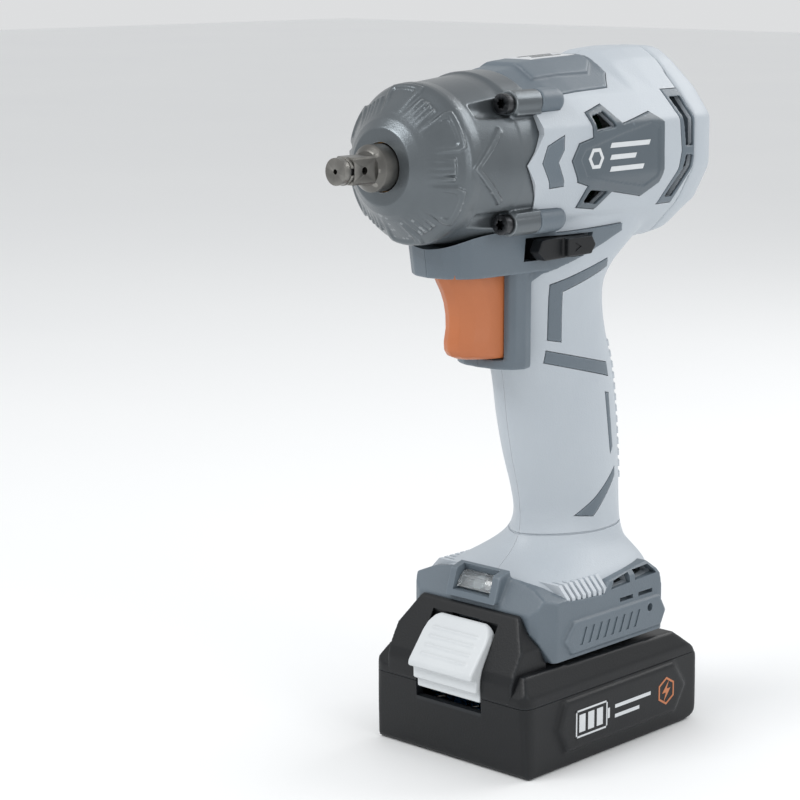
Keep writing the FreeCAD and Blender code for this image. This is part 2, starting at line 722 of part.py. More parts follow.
def housing_cuts():
    # cuts on the left side, the right side is its mirror image
    proud = 1.0
    cuts = [skin_of(barrel_form, proud, top_insert_form())]
    cuts += [prism_x(window, 10.0, 45.0) for window in (plate_window_high, plate_window_low)]
    cuts += [prism_x(vent, 20.0, 45.0) for vent in rear_vents]
    cuts += [skin_of(barrel_form, proud, prism_x(outline, 15.0, 45.0))
             for outline in (plate_outline, chevron_outline)]
    cuts += [skin_of(handle_form, proud, prism_x(stripe, 5.0, 40.0)) for stripe in grip_stripes]
    cuts.append(skin_of(handle_form, 1.3, prism_x(collar_outline, -60.0, 60.0)))
    cuts.append(collar_lip())
    cuts.append(rod_y(boss_radius, case_rear_y, -18.0, boss_x, axis_z - boss_rise))
    cuts.append(rod_y(boss_radius, case_rear_y, -21.0, boss_x, axis_z + boss_rise))
    half, y_low, y_high, z_low, z_high = trigger_opening
    cuts.append(block(-half, half, y_low, y_high, z_low, z_high))
    y_low, y_high, z_low, z_high = lever_opening
    cuts.append(block(-40, 40, y_low, y_high, z_low, z_high))
    cuts += [rod_y(1.6, 30.0, 60.0, x, z) for x, z in cap_screw_places if x > 0]
    cuts += [rod_y(bolt_radius + 0.1, -60, -19, x, z) for x, z in boss_places if x > 0]
    cuts.append(slope_front().common(block(-50, 50, -60, -20, 55, 90)))
    cuts.append(block(-9.0, 9.0, -31.5, -28.4, 59.0, 68.0))
    return cuts


def housing_halves():
    half = biggest(housing_whole().common(block(0, 60, -80, 80, 0, 300)))
    half = without(half, housing_cuts())
    left = without(half, [rod_x(1.5, -1.0, 14.0, y, z) for y, z in screw_places])
    right = mirrored(half)
    for y, z in screw_places:
        right = without(right, [rod_x(1.5, -40.0, 1.0, y, z), rod_x(3.1, -40.0, -14.5, y, z)])
    return biggest(left), biggest(right)


def biggest(shape):
    return max(shape.Solids, key=lambda solid: solid.Volume)


def housing_screws():
    screws = []
    for y, z in screw_places:
        head = rod_x(2.9, -16.9, -14.5, y, z)
        recess = block(-17.5, -15.8, y - 1.6, y + 1.6, z - 0.4, z + 0.4)
        recess = recess.fuse(block(-17.5, -15.8, y - 0.4, y + 0.4, z - 1.6, z + 1.6))
        screws.append(head.fuse(rod_x(1.5, -14.6, 10.0, y, z)).cut(recess))
    return screws


# ---- foot skirt, lens and boards ----
def skirt_outline(half_width, front_y, rear_y, corner):
    right = [(half_width - corner, front_y), (half_width, front_y + corner), (half_width, rear_y - corner / 2),
             (half_width - corner / 2, rear_y)]
    return right + [(-x, y) for x, y in reversed(right)]


def foot_skirt():
    profile = [(-31.0, foot_bottom_z), (-37.6, 50.8), (-37.6, 57.6), (-31.0, 68.6), (-27.0, 66.0), (-22.0, 61.6),
               (-1.5, 60.3), (24.7, 65.6), (32.8, 61.0), (34.2, 55.2), (37.2, 53.0), (37.5, 41.5),
               (35.0, foot_bottom_z)]
    crown = [(-36.0, 30.0), (-36.0, 61.5), (-25.0, 66.4), (-13.0, 68.8), (13.0, 68.8), (25.0, 66.4), (36.0, 61.5),
             (36.0, 30.0)]
    skirt = prism_x(profile, -40.0, 40.0).common(prism_z(skirt_outline(34.4, -38.5, 38.0, 9.0), 30, 80))
    skirt = skirt.common(prism_y(crown, -60, 60))
    panel = prism_x([(-22.0, 41.4), (-26.0, 47.0), (-20.0, 53.0), (32.0, 53.0), (35.0, 47.0), (32.0, 41.4)],
                    -35.8, 35.8)
    skirt = skirt.fuse(panel.common(prism_z(skirt_outline(35.8, -38.5, 38.0, 6.0), 30, 80)))
    inner = block(-31.1, 31.1, -31.1, 33.1, 30.0, 90.0)
    skirt = skirt.cut(inner.common(foot_body_room()))
    lens_room = prism_x([(-40.0, 63.2), (-36.0, 71.0), (-26.0, 71.0), (-30.0, 60.0)], -9.4, 9.4)
    vents = [prism_x([(1.0, 60.4), (3.2, 63.4), (14.7, 65.2), (14.7, 61.4)], 26.0, 40.0),
             prism_x([(17.0, 62.0), (17.0, 65.6), (27.6, 65.2), (31.0, 61.4)], 26.0, 40.0),
             block(30.0, 40.0, 7.6, 15.6, 55.2, 56.8), block(30.0, 40.0, 19.0, 27.7, 55.2, 56.8)]
    cuts = foot_rooms()[:2] + [lens_room]
    for vent in vents:
        cuts += both_sides(vent)
    cuts.append(rod_x(1.6, 33.0, 40.0, 24.5, 50.0))
    cuts.append(kept(handle_form, -0.1))
    half = without(skirt, cuts).common(block(0, 60, -60, 60, 0, 100))
    return joined(both_sides(biggest(half)))


def foot_body_room():
    return foot_body().fuse(block(-31.1, 31.1, -31.1, 33.1, 30.0, 63.5))


def led_lens():
    outline = [(-37.0, 62.6), (-34.6, 66.6), (-31.4, 68.0), (-30.2, 64.4)]
    return prism_x(outline, -8.8, 8.8)


def led_board():
    return block(-8.0, 8.0, -30.0, -29.0, 60.4, 64.4)


def control_board():
    tray = block(-25.0, 25.0, -23.0, 27.0, 54.2, 55.4)
    parts = [tray, block(-20.0, -8.0, -15.0, -3.0, 55.3, 58.6), block(4.0, 20.0, -16.0, -8.0, 55.3, 57.6)]
    parts += [rod_z(4.0, 55.3, 60.8, x, 20.0) for x in (-16.0, 16.0)]
    return joined(parts)


blade_xs = (-15.0, -5.0, 5.0, 15.0)


def terminal_block():
    body = block(-20.0, 20.0, 30.0, 33.0, 44.4, 51.2)
    blades = [block(x - 0.4, x + 0.4, 20.0, 30.2, 45.4, 50.0) for x in blade_xs]
    return joined([body] + blades)


# ---- switch, trigger and direction lever ----
def switch_body():
    body = block(-9.0, 9.0, -12.0, 15.0, 153.0, 181.0)
    bore = rod_y(3.6, -13.0, 9.0, 0.0, 168.0)
    fork_seat = block(-7.0, 7.0, -9.0, 2.0, 181.0, 184.6)
    return body.fuse(fork_seat).cut(bore)


def trigger():
    profile = [(-58.4, 183.6), (-54.6, 177.2), (-52.4, 172.0), (-51.6, 166.0), (-52.6, 158.0), (-51.6, 153.4),
               (-48.0, 151.4), (-40.0, 151.0), (-20.0, 151.0), (-20.0, 183.6)]
    body = prism_x(profile, -9.9, 9.9)
    face = [(-9.9, -19.0), (-9.9, -46.0), (-7.5, -53.5), (-3.0, -60.0)]
    plan = prism_z(face + [(-x, y) for x, y in reversed(face)], 140, 190)
    hollow = block(-7.6, 7.6, -40.0, -19.0, 154.0, 181.0)
    body = body.common(plan).cut(hollow)
    plunger = rod_y(3.3, -41.0, -5.0, 0.0, 168.0)
    return joined([body, plunger])


def switch_spring():
    return coil(2.4, 0.35, 7, Vector(0, -4.9, 168.0), 13.8, Vector(0, 1, 0))


def direction_lever():
    bar = block(-21.0, 21.0, -26.0, -8.0, 187.8, 195.0)
    bar = bar.cut(block(-14.0, 14.0, -40.0, 0.0, 192.4, 200.0))
    pad = prism_x([(-31.0, 191.0), (-28.5, 195.4), (-4.0, 195.4), (0.0, 191.6), (-2.0, 188.0), (-27.0, 187.6)],
                  20.0, 24.6)
    thumb = prism_x([(-17.0, 188.2), (-17.0, 195.2), (-3.0, 195.2), (-0.8, 191.6), (-3.4, 188.2)], 24.5, 27.0)
    return joined([bar] + both_sides(pad) + both_sides(thumb))


# ---- battery ----
def battery_side(z_low, z_high):
    corner = 7.0
    right = [(31.0, battery_front_y), (battery_half_width, battery_front_y + corner),
             (battery_half_width, 49.0), (33.0, 53.5)]
    return prism_z(right + [(-x, y) for x, y in reversed(right)], z_low, z_high)


def battery_profile():
    return [(battery_front_y + 1, 0.0), (battery_front_y, 1.2), (battery_front_y - 1.5, 30.0), (-47.0, battery_top_z),
            (41.5, battery_top_z - 1.5), (50.5, 29.0), (52.6, 25.4), (53.5, 3.8), (46.8, 0.0)]


def wing_chamfers():
    return [prism_y([(33.0, 39.0), (39.0, 39.0), (39.0, 29.0)], -60, 60),
            prism_y([(-33.0, 39.0), (-39.0, 39.0), (-39.0, 29.0)], -60, 60)]


def battery_outer():
    body = prism_x(battery_profile(), -40.0, 40.0).common(battery_side(0.0, 40.0))
    return without(body, wing_chamfers())


split_z = 27.0


def front_block():
    profile = [(battery_front_y - 1.5, split_z), (battery_front_y - 1.5, 34.0), (-39.0, 57.6), (-37.9, 57.6),
               (-37.9, 50.6), (-31.4, foot_bottom_z), (-31.4, split_z)]
    outline = [(-31.0, split_z), (-31.0, 46.0), (-24.0, 57.8), (24.0, 57.8), (31.0, 46.0), (31.0, split_z)]
    return prism_x(profile, -31.0, 31.0).common(prism_y(outline, -60, -20))


button_room = (16.2, -60.0, -41.0, 20.0, 53.4)
button_bottom_z = 25.0
button_travel = 3.5


def battery_case():
    body = battery_outer().common(block(-50, 50, -60, 60, 0, split_z))
    body = body.cut(block(-35.4, 35.4, -47.4, 48.6, 2.4, 60))
    panel = prism_x([(-29.0, 6.3), (-34.0, 15.5), (-30.0, 25.4), (36.6, 25.6), (43.7, 15.5), (37.7, 6.4)],
                    battery_half_width - 0.5, battery_half_width + 1.6)
    body = joined([body] + both_sides(panel))
    ledge = [rod_z(3.4, 2.0, split_z, x, y) for x, y in battery_screw_places]
    body = joined([body] + ledge)
    holes = [rod_z(1.5, -1.0, 40.0, x, y) for x, y in battery_screw_places]
    holes += [rod_z(3.0, -1.0, 2.6, x, y) for x, y in battery_screw_places]
    half, y_low, y_high, z_low, z_high = button_room
    notch_z = button_bottom_z - button_travel - slip
    return without(body, holes + [block(-half, half, y_low, y_high, notch_z, z_high)])


battery_screw_places = [(-31.5, -36.0), (31.5, -36.0), (-31.5, 43.0), (31.5, 43.0)]


def battery_cover():
    upper = battery_outer().common(block(-50, 50, -60, 60, split_z, 60))
    hollow = [(-47.0, 0.0), (-47.0, 30.0), (-44.0, 35.4), (39.5, 34.2), (47.6, 27.6), (48.6, 0.0)]
    upper = upper.cut(prism_x(hollow, -33.0, 33.0))
    head = block(-26.9, 26.9, -37.8, 33.6, rail_top_z + slip, deck_ceiling_z - slip)
    neck = block(-neck_room + slip, neck_room - slip, -38.0, 33.6, battery_top_z - 3, rail_top_z + 1)
    deck = head.fuse(neck)
    hollow = prism_x([(-49.2, 0.0), (-49.2, 33.0), (-41.6, 52.4), (-40.4, 52.4), (-40.4, 36.0), (-36.0, 30.0),
                      (-36.0, 0.0)], -25.6, 25.6)
    cover = joined([upper, deck, front_block()])
    half, y_low, y_high, z_low, z_high = button_room
    cuts = [hollow, block(-half, half, y_low, y_high, z_low, z_high)]
    cuts.append(block(-7.0, 7.0, -42.0, -37.0, 34.0, 60.0))
    cuts.append(block(-19.0, 19.0, -30.0, 27.0, 20.0, 42.0))
    cuts += [block(x - 1.3, x + 1.3, 11.0, 36.0, 33.0, 55.0) for x in blade_xs]
    cuts.append(block(-20.4, 20.4, 29.6, 36.0, 44.0, 55.0))
    cuts += [rod_z(1.5, 20.0, 33.0, x, y) for x, y in battery_screw_places]
    cover = without(cover, cuts)
    posts = [rod_z(3.4, split_z, battery_top_z - 2.0, x, y).cut(rod_z(1.5, 20, 33, x, y))
             for x, y in battery_screw_places]
    return biggest(joined([cover] + posts))


def release_button():
    profile = [(-42.0, 53.0), (-43.6, 52.6), (-56.4, 36.6), (-56.6, 34.4), (-53.6, 33.6), (-53.6, 29.0),
               (-51.2, 28.4), (-51.2, button_bottom_z), (-47.0, button_bottom_z), (-42.0, 40.0)]
    body = prism_x(profile, -15.8, 15.8)
    grooves = [rod_x(0.5, -11.0, 11.0, -47.6 - 2.2 * step, 47.6 - 2.5 * step) for step in range(4)]
    hook = prism_x([(-42.4, 42.0), (-38.4, 42.0), (-38.4, 50.6), (-42.4, 52.6)], -6.0, 6.0)
    return joined([without(body, grooves)]).fuse(hook)


def latch_springs():
    return [coil(2.0, 0.35, 8, Vector(x, -44.4, 2.4), 22.6, Vector(0, 0, 1)) for x in (-9.0, 9.0)]


cell_radius = 9.2
cell_length = 65.0
cell_front_y = -28.0
cell_z = 13.6
cell_xs = (-20.2, 0.0, 20.2)


def cells():
    found = []
    for x in cell_xs:
        can = rod_y(cell_radius, cell_front_y, cell_front_y + cell_length, x, cell_z)
        found.append(can.fuse(rod_y(3.0, cell_front_y - 0.8, cell_front_y + 1, x, cell_z)))
    return found


def cell_holder():
    frames = []
    for y_low in (cell_front_y + 2.0, cell_front_y + cell_length - 10.0):
        frame = block(-31.0, 31.0, y_low, y_low + 8.0, 2.5, 25.0)
        frame = frame.common(block(-30.4, 30.4, y_low, y_low + 8.0, 2.5, 25.0))
        frames.append(without(frame, [rod_y(cell_radius, y_low - 1, y_low + 9, x, cell_z) for x in cell_xs]))
    return [solid for frame in frames for solid in frame.Solids]


def battery_board():
    return block(-18.0, 18.0, -28.0, 16.0, 28.0, 29.6)


def battery_terminals():
    clips = []
    for x in blade_xs:
        base = block(x - 1.1, x + 1.1, 4.0, 14.0, 29.6, 30.6)
        riser = block(x - 1.1, x + 1.1, 12.8, 14.0, 29.6, 48.0)
        clips.append(joined([base, riser]))
    return clips


def battery_screws():
    screws = []
    for x, y in battery_screw_places:
        head = rod_z(2.8, 0.6, 2.6, x, y)
        recess = block(x - 1.6, x + 1.6, y - 0.4, y + 0.4, 0.0, 1.6)
        recess = recess.fuse(block(x - 0.4, x + 0.4, y - 1.6, y + 1.6, 0.0, 1.6))
        screws.append(head.fuse(rod_z(1.5, 2.5, 31.0, x, y)).cut(recess))
    return screws


# ---- write every piece ----
left_half, right_half = housing_halves()
save("housing_left", left_half)
save("housing_right", right_half)
save("housing_screws", housing_screws())
save("rear_cap", rear_cap())
save("rear_cap_screws", rear_cap_screws())
save("hammer_case", hammer_case())
save("case_bush", case_bush())
save("case_bolts", case_bolts())
plate = side_plate()
save("side_plate_left", plate)
save("side_plate_right", mirrored(plate))
save("top_insert", top_insert())
save("top_label", top_label())
inlays = grip_inlays()
save("grip_inlays_left", inlays)
screw_wells = [rod_x(3.1, -40.0, -14.5, y, z) for y, z in screw_places]
save("grip_inlays_right", [biggest(without(mirrored(inlay), screw_wells)) for inlay in inlays])
left_collar = biggest(collar().common(block(0, 60, -80, 80, 100, 300)))
save("collar_left", left_collar)
save("collar_right", mirrored(left_collar))
save("foot_skirt", foot_skirt())
save("led_lens", led_lens())
save("led_board", led_board())
save("control_board", control_board())
save("terminal_block", terminal_block())
save("switch_body", switch_body())
save("switch_spring", switch_spring())
save("trigger", trigger())
save("direction_lever", direction_lever())
save("anvil", anvil())
save("friction_ring", friction_ring())
save("friction_o_ring", ring_o_ring())
save("hammer", hammer())
save("spring_washer", spring_washer())
save("hammer_spring", hammer_spring())
save("spindle", spindle())
save("planet_pins", planet_pins())
save("cam_balls", cam_balls())
for number in range(planet_count):
    save("planet_gear_" + str(number + 1), planet_gear(number))
save("ring_gear", ring_gear())
save("gear_case", gear_case())
save("spindle_bearing", ball_bearing(13.0, 8.0, -6.2, -1.6, 12))
save("rotor_bearings", ball_bearing(8.0, rotor_shaft_radius + 0.02, 1.5, 6.5)
     + ball_bearing(8.0, rotor_shaft_radius + 0.02, rear_bearing_y, rear_bearing_y + 5))
save("rotor_shaft", rotor_shaft())
save("rotor_core", rotor_core())
save("magnets", magnets())
save("fan", fan())
save("stator_core", stator_core())
save("stator_insulators", stator_insulators())
save("stator_coils", stator_coils())
save("hall_board", hall_board())
save("battery_case", battery_case())
save("battery_cover", battery_cover())
save("battery_screws", battery_screws())
save("release_button", release_button())
save("latch_springs", latch_springs())
save("cells", cells())
save("cell_holder", cell_holder())
save("battery_board", battery_board())
save("battery_terminals", battery_terminals())
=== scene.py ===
import json
import math
import bmesh
import bpy
from mathutils import Matrix, Vector

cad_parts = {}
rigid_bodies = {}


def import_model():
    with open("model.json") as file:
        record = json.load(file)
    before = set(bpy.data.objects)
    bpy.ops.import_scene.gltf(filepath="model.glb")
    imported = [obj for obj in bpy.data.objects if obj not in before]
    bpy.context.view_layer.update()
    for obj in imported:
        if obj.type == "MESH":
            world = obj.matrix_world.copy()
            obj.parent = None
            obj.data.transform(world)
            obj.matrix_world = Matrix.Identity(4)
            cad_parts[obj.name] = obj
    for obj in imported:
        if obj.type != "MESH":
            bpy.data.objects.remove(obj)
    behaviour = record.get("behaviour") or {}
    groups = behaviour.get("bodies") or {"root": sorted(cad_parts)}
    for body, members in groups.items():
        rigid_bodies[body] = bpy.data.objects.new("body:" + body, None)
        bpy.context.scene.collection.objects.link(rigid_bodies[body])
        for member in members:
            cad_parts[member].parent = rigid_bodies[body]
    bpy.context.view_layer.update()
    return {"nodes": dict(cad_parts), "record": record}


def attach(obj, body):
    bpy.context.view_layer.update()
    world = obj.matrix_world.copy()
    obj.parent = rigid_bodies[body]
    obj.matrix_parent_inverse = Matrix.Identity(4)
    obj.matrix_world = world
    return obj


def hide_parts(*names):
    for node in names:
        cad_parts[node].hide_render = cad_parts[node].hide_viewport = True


for leftover in list(bpy.data.objects):
    bpy.data.objects.remove(leftover)
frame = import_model()
mm = 0.001
axisZ = 224.0  # height of the output axis, mm
scene = bpy.context.scene


# camera, a long lens on the tool's left front, a little above it
camera = {"place": (0.56312, -0.67708, 0.30115), "azimuth": 43.2, "elevation": 11.04,
          "lens": 106.07, "sensor": 36.0, "reach": 20.0}
lensData = bpy.data.cameras.new("camera")
lensData.lens = camera["lens"]
lensData.sensor_width = camera["sensor"]
lensData.clip_end = camera["reach"]
cameraObject = bpy.data.objects.new("camera", lensData)
scene.collection.objects.link(cameraObject)
turn = Matrix.Rotation(math.radians(camera["azimuth"]), 4, "Z")
tilt = Matrix.Rotation(math.radians(90.0 - camera["elevation"]), 4, "X")
cameraObject.matrix_world = Matrix.Translation(camera["place"]) @ turn @ tilt
scene.camera = cameraObject
print("camera placed")


# solids, all in millimetres until newPiece; each adds itself to a bmesh
def place(axis, along, a, b):
    return {"X": (along, a, b), "Y": (a, along, b), "Z": (a, b, along)}[axis]


def prism(bm, axis, outline, low, high):
    corners = [bm.verts.new(place(axis, low, a, b)) for a, b in outline]
    lifted = bmesh.ops.extrude_face_region(bm, geom=[bm.faces.new(corners)])
    tops = [v for v in lifted["geom"] if isinstance(v, bmesh.types.BMVert)]
    bmesh.ops.translate(bm, verts=tops, vec=place(axis, high - low, 0, 0))
    return corners + tops


def box(bm, low, high):
    size = [b - a for a, b in zip(low, high)]
    middle = [(a + b) / 2 for a, b in zip(low, high)]
    spot = Matrix.Translation(middle) @ Matrix.Diagonal((*size, 1))
    return bmesh.ops.create_cube(bm, size=1.0, matrix=spot)["verts"]


def rod(bm, axis, radius, low, high, a, b, segments=32):
    turned = {"X": Matrix.Rotation(math.pi / 2, 4, "Y"), "Y": Matrix.Rotation(-math.pi / 2, 4, "X"),
              "Z": Matrix.Identity(4)}[axis]
    spot = Matrix.Translation(place(axis, (low + high) / 2, a, b))
    return bmesh.ops.create_cone(bm, cap_ends=True, segments=segments, radius1=radius, radius2=radius,
                                 depth=high - low, matrix=spot @ turned)["verts"]


def lathe(bm, profile, segments=96):
    # profile is (y, radius), spun about the output axis
    corners = [bm.verts.new((0.0, y, axisZ + radius)) for y, radius in profile]
    edges = [bm.edges.new(pair) for pair in zip(corners, corners[1:] + corners[:1])]
    bmesh.ops.spin(bm, geom=corners + edges, cent=(0, 0, axisZ), axis=(0, 1, 0), angle=2 * math.pi,
                   steps=segments, use_merge=True)
    bmesh.ops.remove_doubles(bm, verts=bm.verts[:], dist=0.0005)


def loft(bm, rings):
    loops = []
    for ring in rings:
        verts = [bm.verts.new(point) for point in ring]
        loops.append([bm.edges.new(pair) for pair in zip(verts, verts[1:] + verts[:1])])
    for first, second in zip(loops, loops[1:]):
        bmesh.ops.bridge_loops(bm, edges=first + second)
    for loop in (loops[0], loops[-1]):
        bmesh.ops.contextual_create(bm, geom=loop)


def aboutAxis(bm, verts, degrees):
    turned = Matrix.Rotation(math.radians(degrees), 3, "Y")
    bmesh.ops.rotate(bm, verts=verts, cent=(0, 0, axisZ), matrix=turned)


def shape(tool, *given):
    # one plain solid, ready to be built
    return lambda bm: tool(bm, *given)


def bothHalves(right):
    # an outline drawn on its right half only, closed by its mirror image
    return right + [(-x, y) for x, y in reversed(right)]


def bothSides(near, far):
    # the same span on either side of the middle
    return ((-far, -near), (near, far))


# pieces, and what is done to them
def newPiece(name, bm):
    bmesh.ops.recalc_face_normals(bm, faces=bm.faces[:])
    bmesh.ops.scale(bm, verts=bm.verts[:], vec=(mm, mm, mm))
    mesh = bpy.data.meshes.new(name)
    bm.to_mesh(mesh)
    bm.free()
    piece = bpy.data.objects.new(name, mesh)
    scene.collection.objects.link(piece)
    return piece


def built(name, maker):
    bm = bmesh.new()
    maker(bm)
    return newPiece(name, bm)


def applied(piece):
    bpy.context.view_layer.update()
    done = piece.evaluated_get(bpy.context.evaluated_depsgraph_get())
    mesh = bpy.data.meshes.new_from_object(done)
    old = piece.data
    piece.modifiers.clear()
    piece.data = mesh
    mesh.name = piece.name
    bpy.data.meshes.remove(old)
    return piece


def boolean(piece, other, operation="DIFFERENCE", solver="MANIFOLD"):
    cut = piece.modifiers.new("cut", "BOOLEAN")
    cut.object = other
    cut.operation = operation
    cut.solver = solver
    applied(piece)
    bpy.data.objects.remove(other)
    return piece


def carved(piece, *makers):
    for maker in makers:
        boolean(piece, built("tool", maker))
    return piece


def joined(piece, *makers):
    for maker in makers:
        boolean(piece, built("tool", maker), "UNION")
    return piece


def within(piece, maker):
    return boolean(piece, built("tool", maker), "INTERSECT")


def copyOf(piece, name, swell=0.0):
    # a copy, its surface moved out by swell millimetres
    twin = bpy.data.objects.new(name, piece.data.copy())
    scene.collection.objects.link(twin)
    if swell:
        push = twin.modifiers.new("push", "DISPLACE")
        push.strength = swell * mm
        push.mid_level = 0.0
        applied(twin)
    return twin


def softened(piece, voxel, passes):
    # one even skin over everything, then eased edges, as a moulding or a casting has
    skin = piece.modifiers.new("skin", "REMESH")
    skin.mode = "VOXEL"
    skin.voxel_size = voxel * mm
    ease = piece.modifiers.new("ease", "SMOOTH")
    ease.factor = 0.5
    ease.iterations = passes
    return applied(piece)


def rounded(piece, width):
    edge = piece.modifiers.new("edge", "BEVEL")
    edge.width = width * mm
    edge.segments = 2
    edge.limit_method = "ANGLE"
    edge.angle_limit = math.radians(30)
    edge.miter_outer = "MITER_ARC"
    return applied(piece)


def shaded(piece, angle=32.0):
    piece.data.shade_smooth()
    piece.data.set_sharp_from_angle(angle=math.radians(angle))
    return piece


def splitAcross(piece, names, gap, far=90.0):
    # a left and a right half, a hairline apart
    halves = []
    for side, name in zip((1, -1), names):
        low, high = sorted((side * gap, side * far))
        halves.append(shaded(within(copyOf(piece, name), shape(box, (low, -90, -5), (high, 90, 290)))))
    bpy.data.objects.remove(piece)
    return halves


def grown(outline, by):
    # the outline moved outwards by a distance, corners kept
    area = sum(a[0] * b[1] - b[0] * a[1] for a, b in zip(outline, outline[1:] + outline[:1]))
    side = 1.0 if area > 0 else -1.0
    moved = []
    for before, here, after in zip(outline[-1:] + outline[:-1], outline, outline[1:] + outline[:1]):
        first = Vector((here[0] - before[0], here[1] - before[1])).normalized()
        second = Vector((after[0] - here[0], after[1] - here[1])).normalized()
        out = Vector((first.y + second.y, -first.x - second.x)) * side
        reach = by * 2.0 / max(out.length_squared, 0.6)
        moved.append((here[0] + out.x * reach, here[1] + out.y * reach))
    return moved


def eased(stations, count):
    # even steps along a table of stations, with smooth curves between them
    out = []
    spans = len(stations) - 1
    for step in range(count + 1):
        at = step / count * spans
        i = min(int(at), spans - 1)
        t = at - i
        p0, p1, p2, p3 = (stations[max(0, min(spans, k))] for k in (i - 1, i, i + 1, i + 2))
        out.append([0.5 * (2 * b + (c - a) * t + (2 * a - 5 * b + 4 * c - d) * t * t
                           + (3 * b - a - 3 * c + d) * t ** 3) for a, b, c, d in zip(p0, p1, p2, p3)])
    return out


# finishes: every one is built from noise in object space, with sizes in millimetres
def linear(hexColour):
    parts = [int(hexColour[i:i + 2], 16) / 255 for i in (1, 3, 5)]
    return [p / 12.92 if p <= 0.04045 else ((p + 0.055) / 1.055) ** 2.4 for p in parts] + [1.0]


def addNode(tree, kind, values=None, links=None, **settings):
    node = tree.nodes.new(kind)
    for key, value in settings.items():
        setattr(node, key, value)
    for key, value in (values or {}).items():
        node.inputs[key].default_value = value
    for key, source in (links or {}).items():
        tree.links.new(source, node.inputs[key])
    return node


def perMetre(sizeMm):
    return 1000.0 / sizeMm


def finish(name, colour, second, patch=18.0, grain=0.5, bump=0.05, rough=(0.4, 0.55), metallic=0.0, wearAndHighlight=None,
           ior=1.5, clear=0.0, brushed=None):
    # patch is the size of the faint colour patches, grain that of the surface texture, bump its height; the
    # edge colour pair is the paler colour on convex edges, partly wear and partly a painted highlight, and
    # how strongly it shows; brushed stretches the pattern
    material = bpy.data.materials.new(name)
    material.use_nodes = True
    tree = material.node_tree
    tree.nodes.clear()
    spot = addNode(tree, "ShaderNodeTexCoord").outputs["Object"]
    if brushed:
        spot = addNode(tree, "ShaderNodeMapping", {"Scale": brushed}, {"Vector": spot}).outputs[0]
    patches = addNode(tree, "ShaderNodeTexNoise", {"Scale": perMetre(patch), "Detail": 4.0}, {"Vector": spot})
    fine = addNode(tree, "ShaderNodeTexNoise", {"Scale": perMetre(grain), "Detail": 2.0}, {"Vector": spot})
    cells = addNode(tree, "ShaderNodeTexVoronoi", {"Scale": perMetre(grain * 1.6)}, {"Vector": spot})
    tone = addNode(tree, "ShaderNodeMix", {6: linear(colour), 7: linear(second)}, {0: patches.outputs[0]},
                   data_type="RGBA").outputs[2]
    roughness = addNode(tree, "ShaderNodeMapRange", {3: rough[0], 4: rough[1]},
                        {0: patches.outputs[0]}).outputs[0]
    # paler colour on convex edges, found from pointiness: partly wear, partly a painted highlight
    if wearAndHighlight:
        edge = addNode(tree, "ShaderNodeNewGeometry").outputs["Pointiness"]
        wornAndHighlit = addNode(tree, "ShaderNodeMapRange", {1: 0.515, 2: 0.56, 3: 0.0, 4: wearAndHighlight[1]},
                       {0: edge}).outputs[0]
        patchyWearAndHighlight = addNode(tree, "ShaderNodeMath", links={0: wornAndHighlit, 1: patches.outputs[0]},
                         operation="MULTIPLY").outputs[0]
        tone = addNode(tree, "ShaderNodeMix", {7: linear(wearAndHighlight[0])}, {0: patchyWearAndHighlight, 6: tone},
                       data_type="RGBA").outputs[2]
    height = addNode(tree, "ShaderNodeMath", links={0: fine.outputs[0], 1: cells.outputs[0]},
                     operation="ADD").outputs[0]
    relief = addNode(tree, "ShaderNodeBump", {"Strength": 1.0, "Distance": bump * mm}, {"Height": height})
    surface = addNode(tree, "ShaderNodeBsdfPrincipled",
                      {"Metallic": metallic, "IOR": ior, "Transmission Weight": clear},
                      {"Base Color": tone, "Roughness": roughness, "Normal": relief.outputs[0]})
    addNode(tree, "ShaderNodeOutputMaterial", links={"Surface": surface.outputs[0]})
    return material


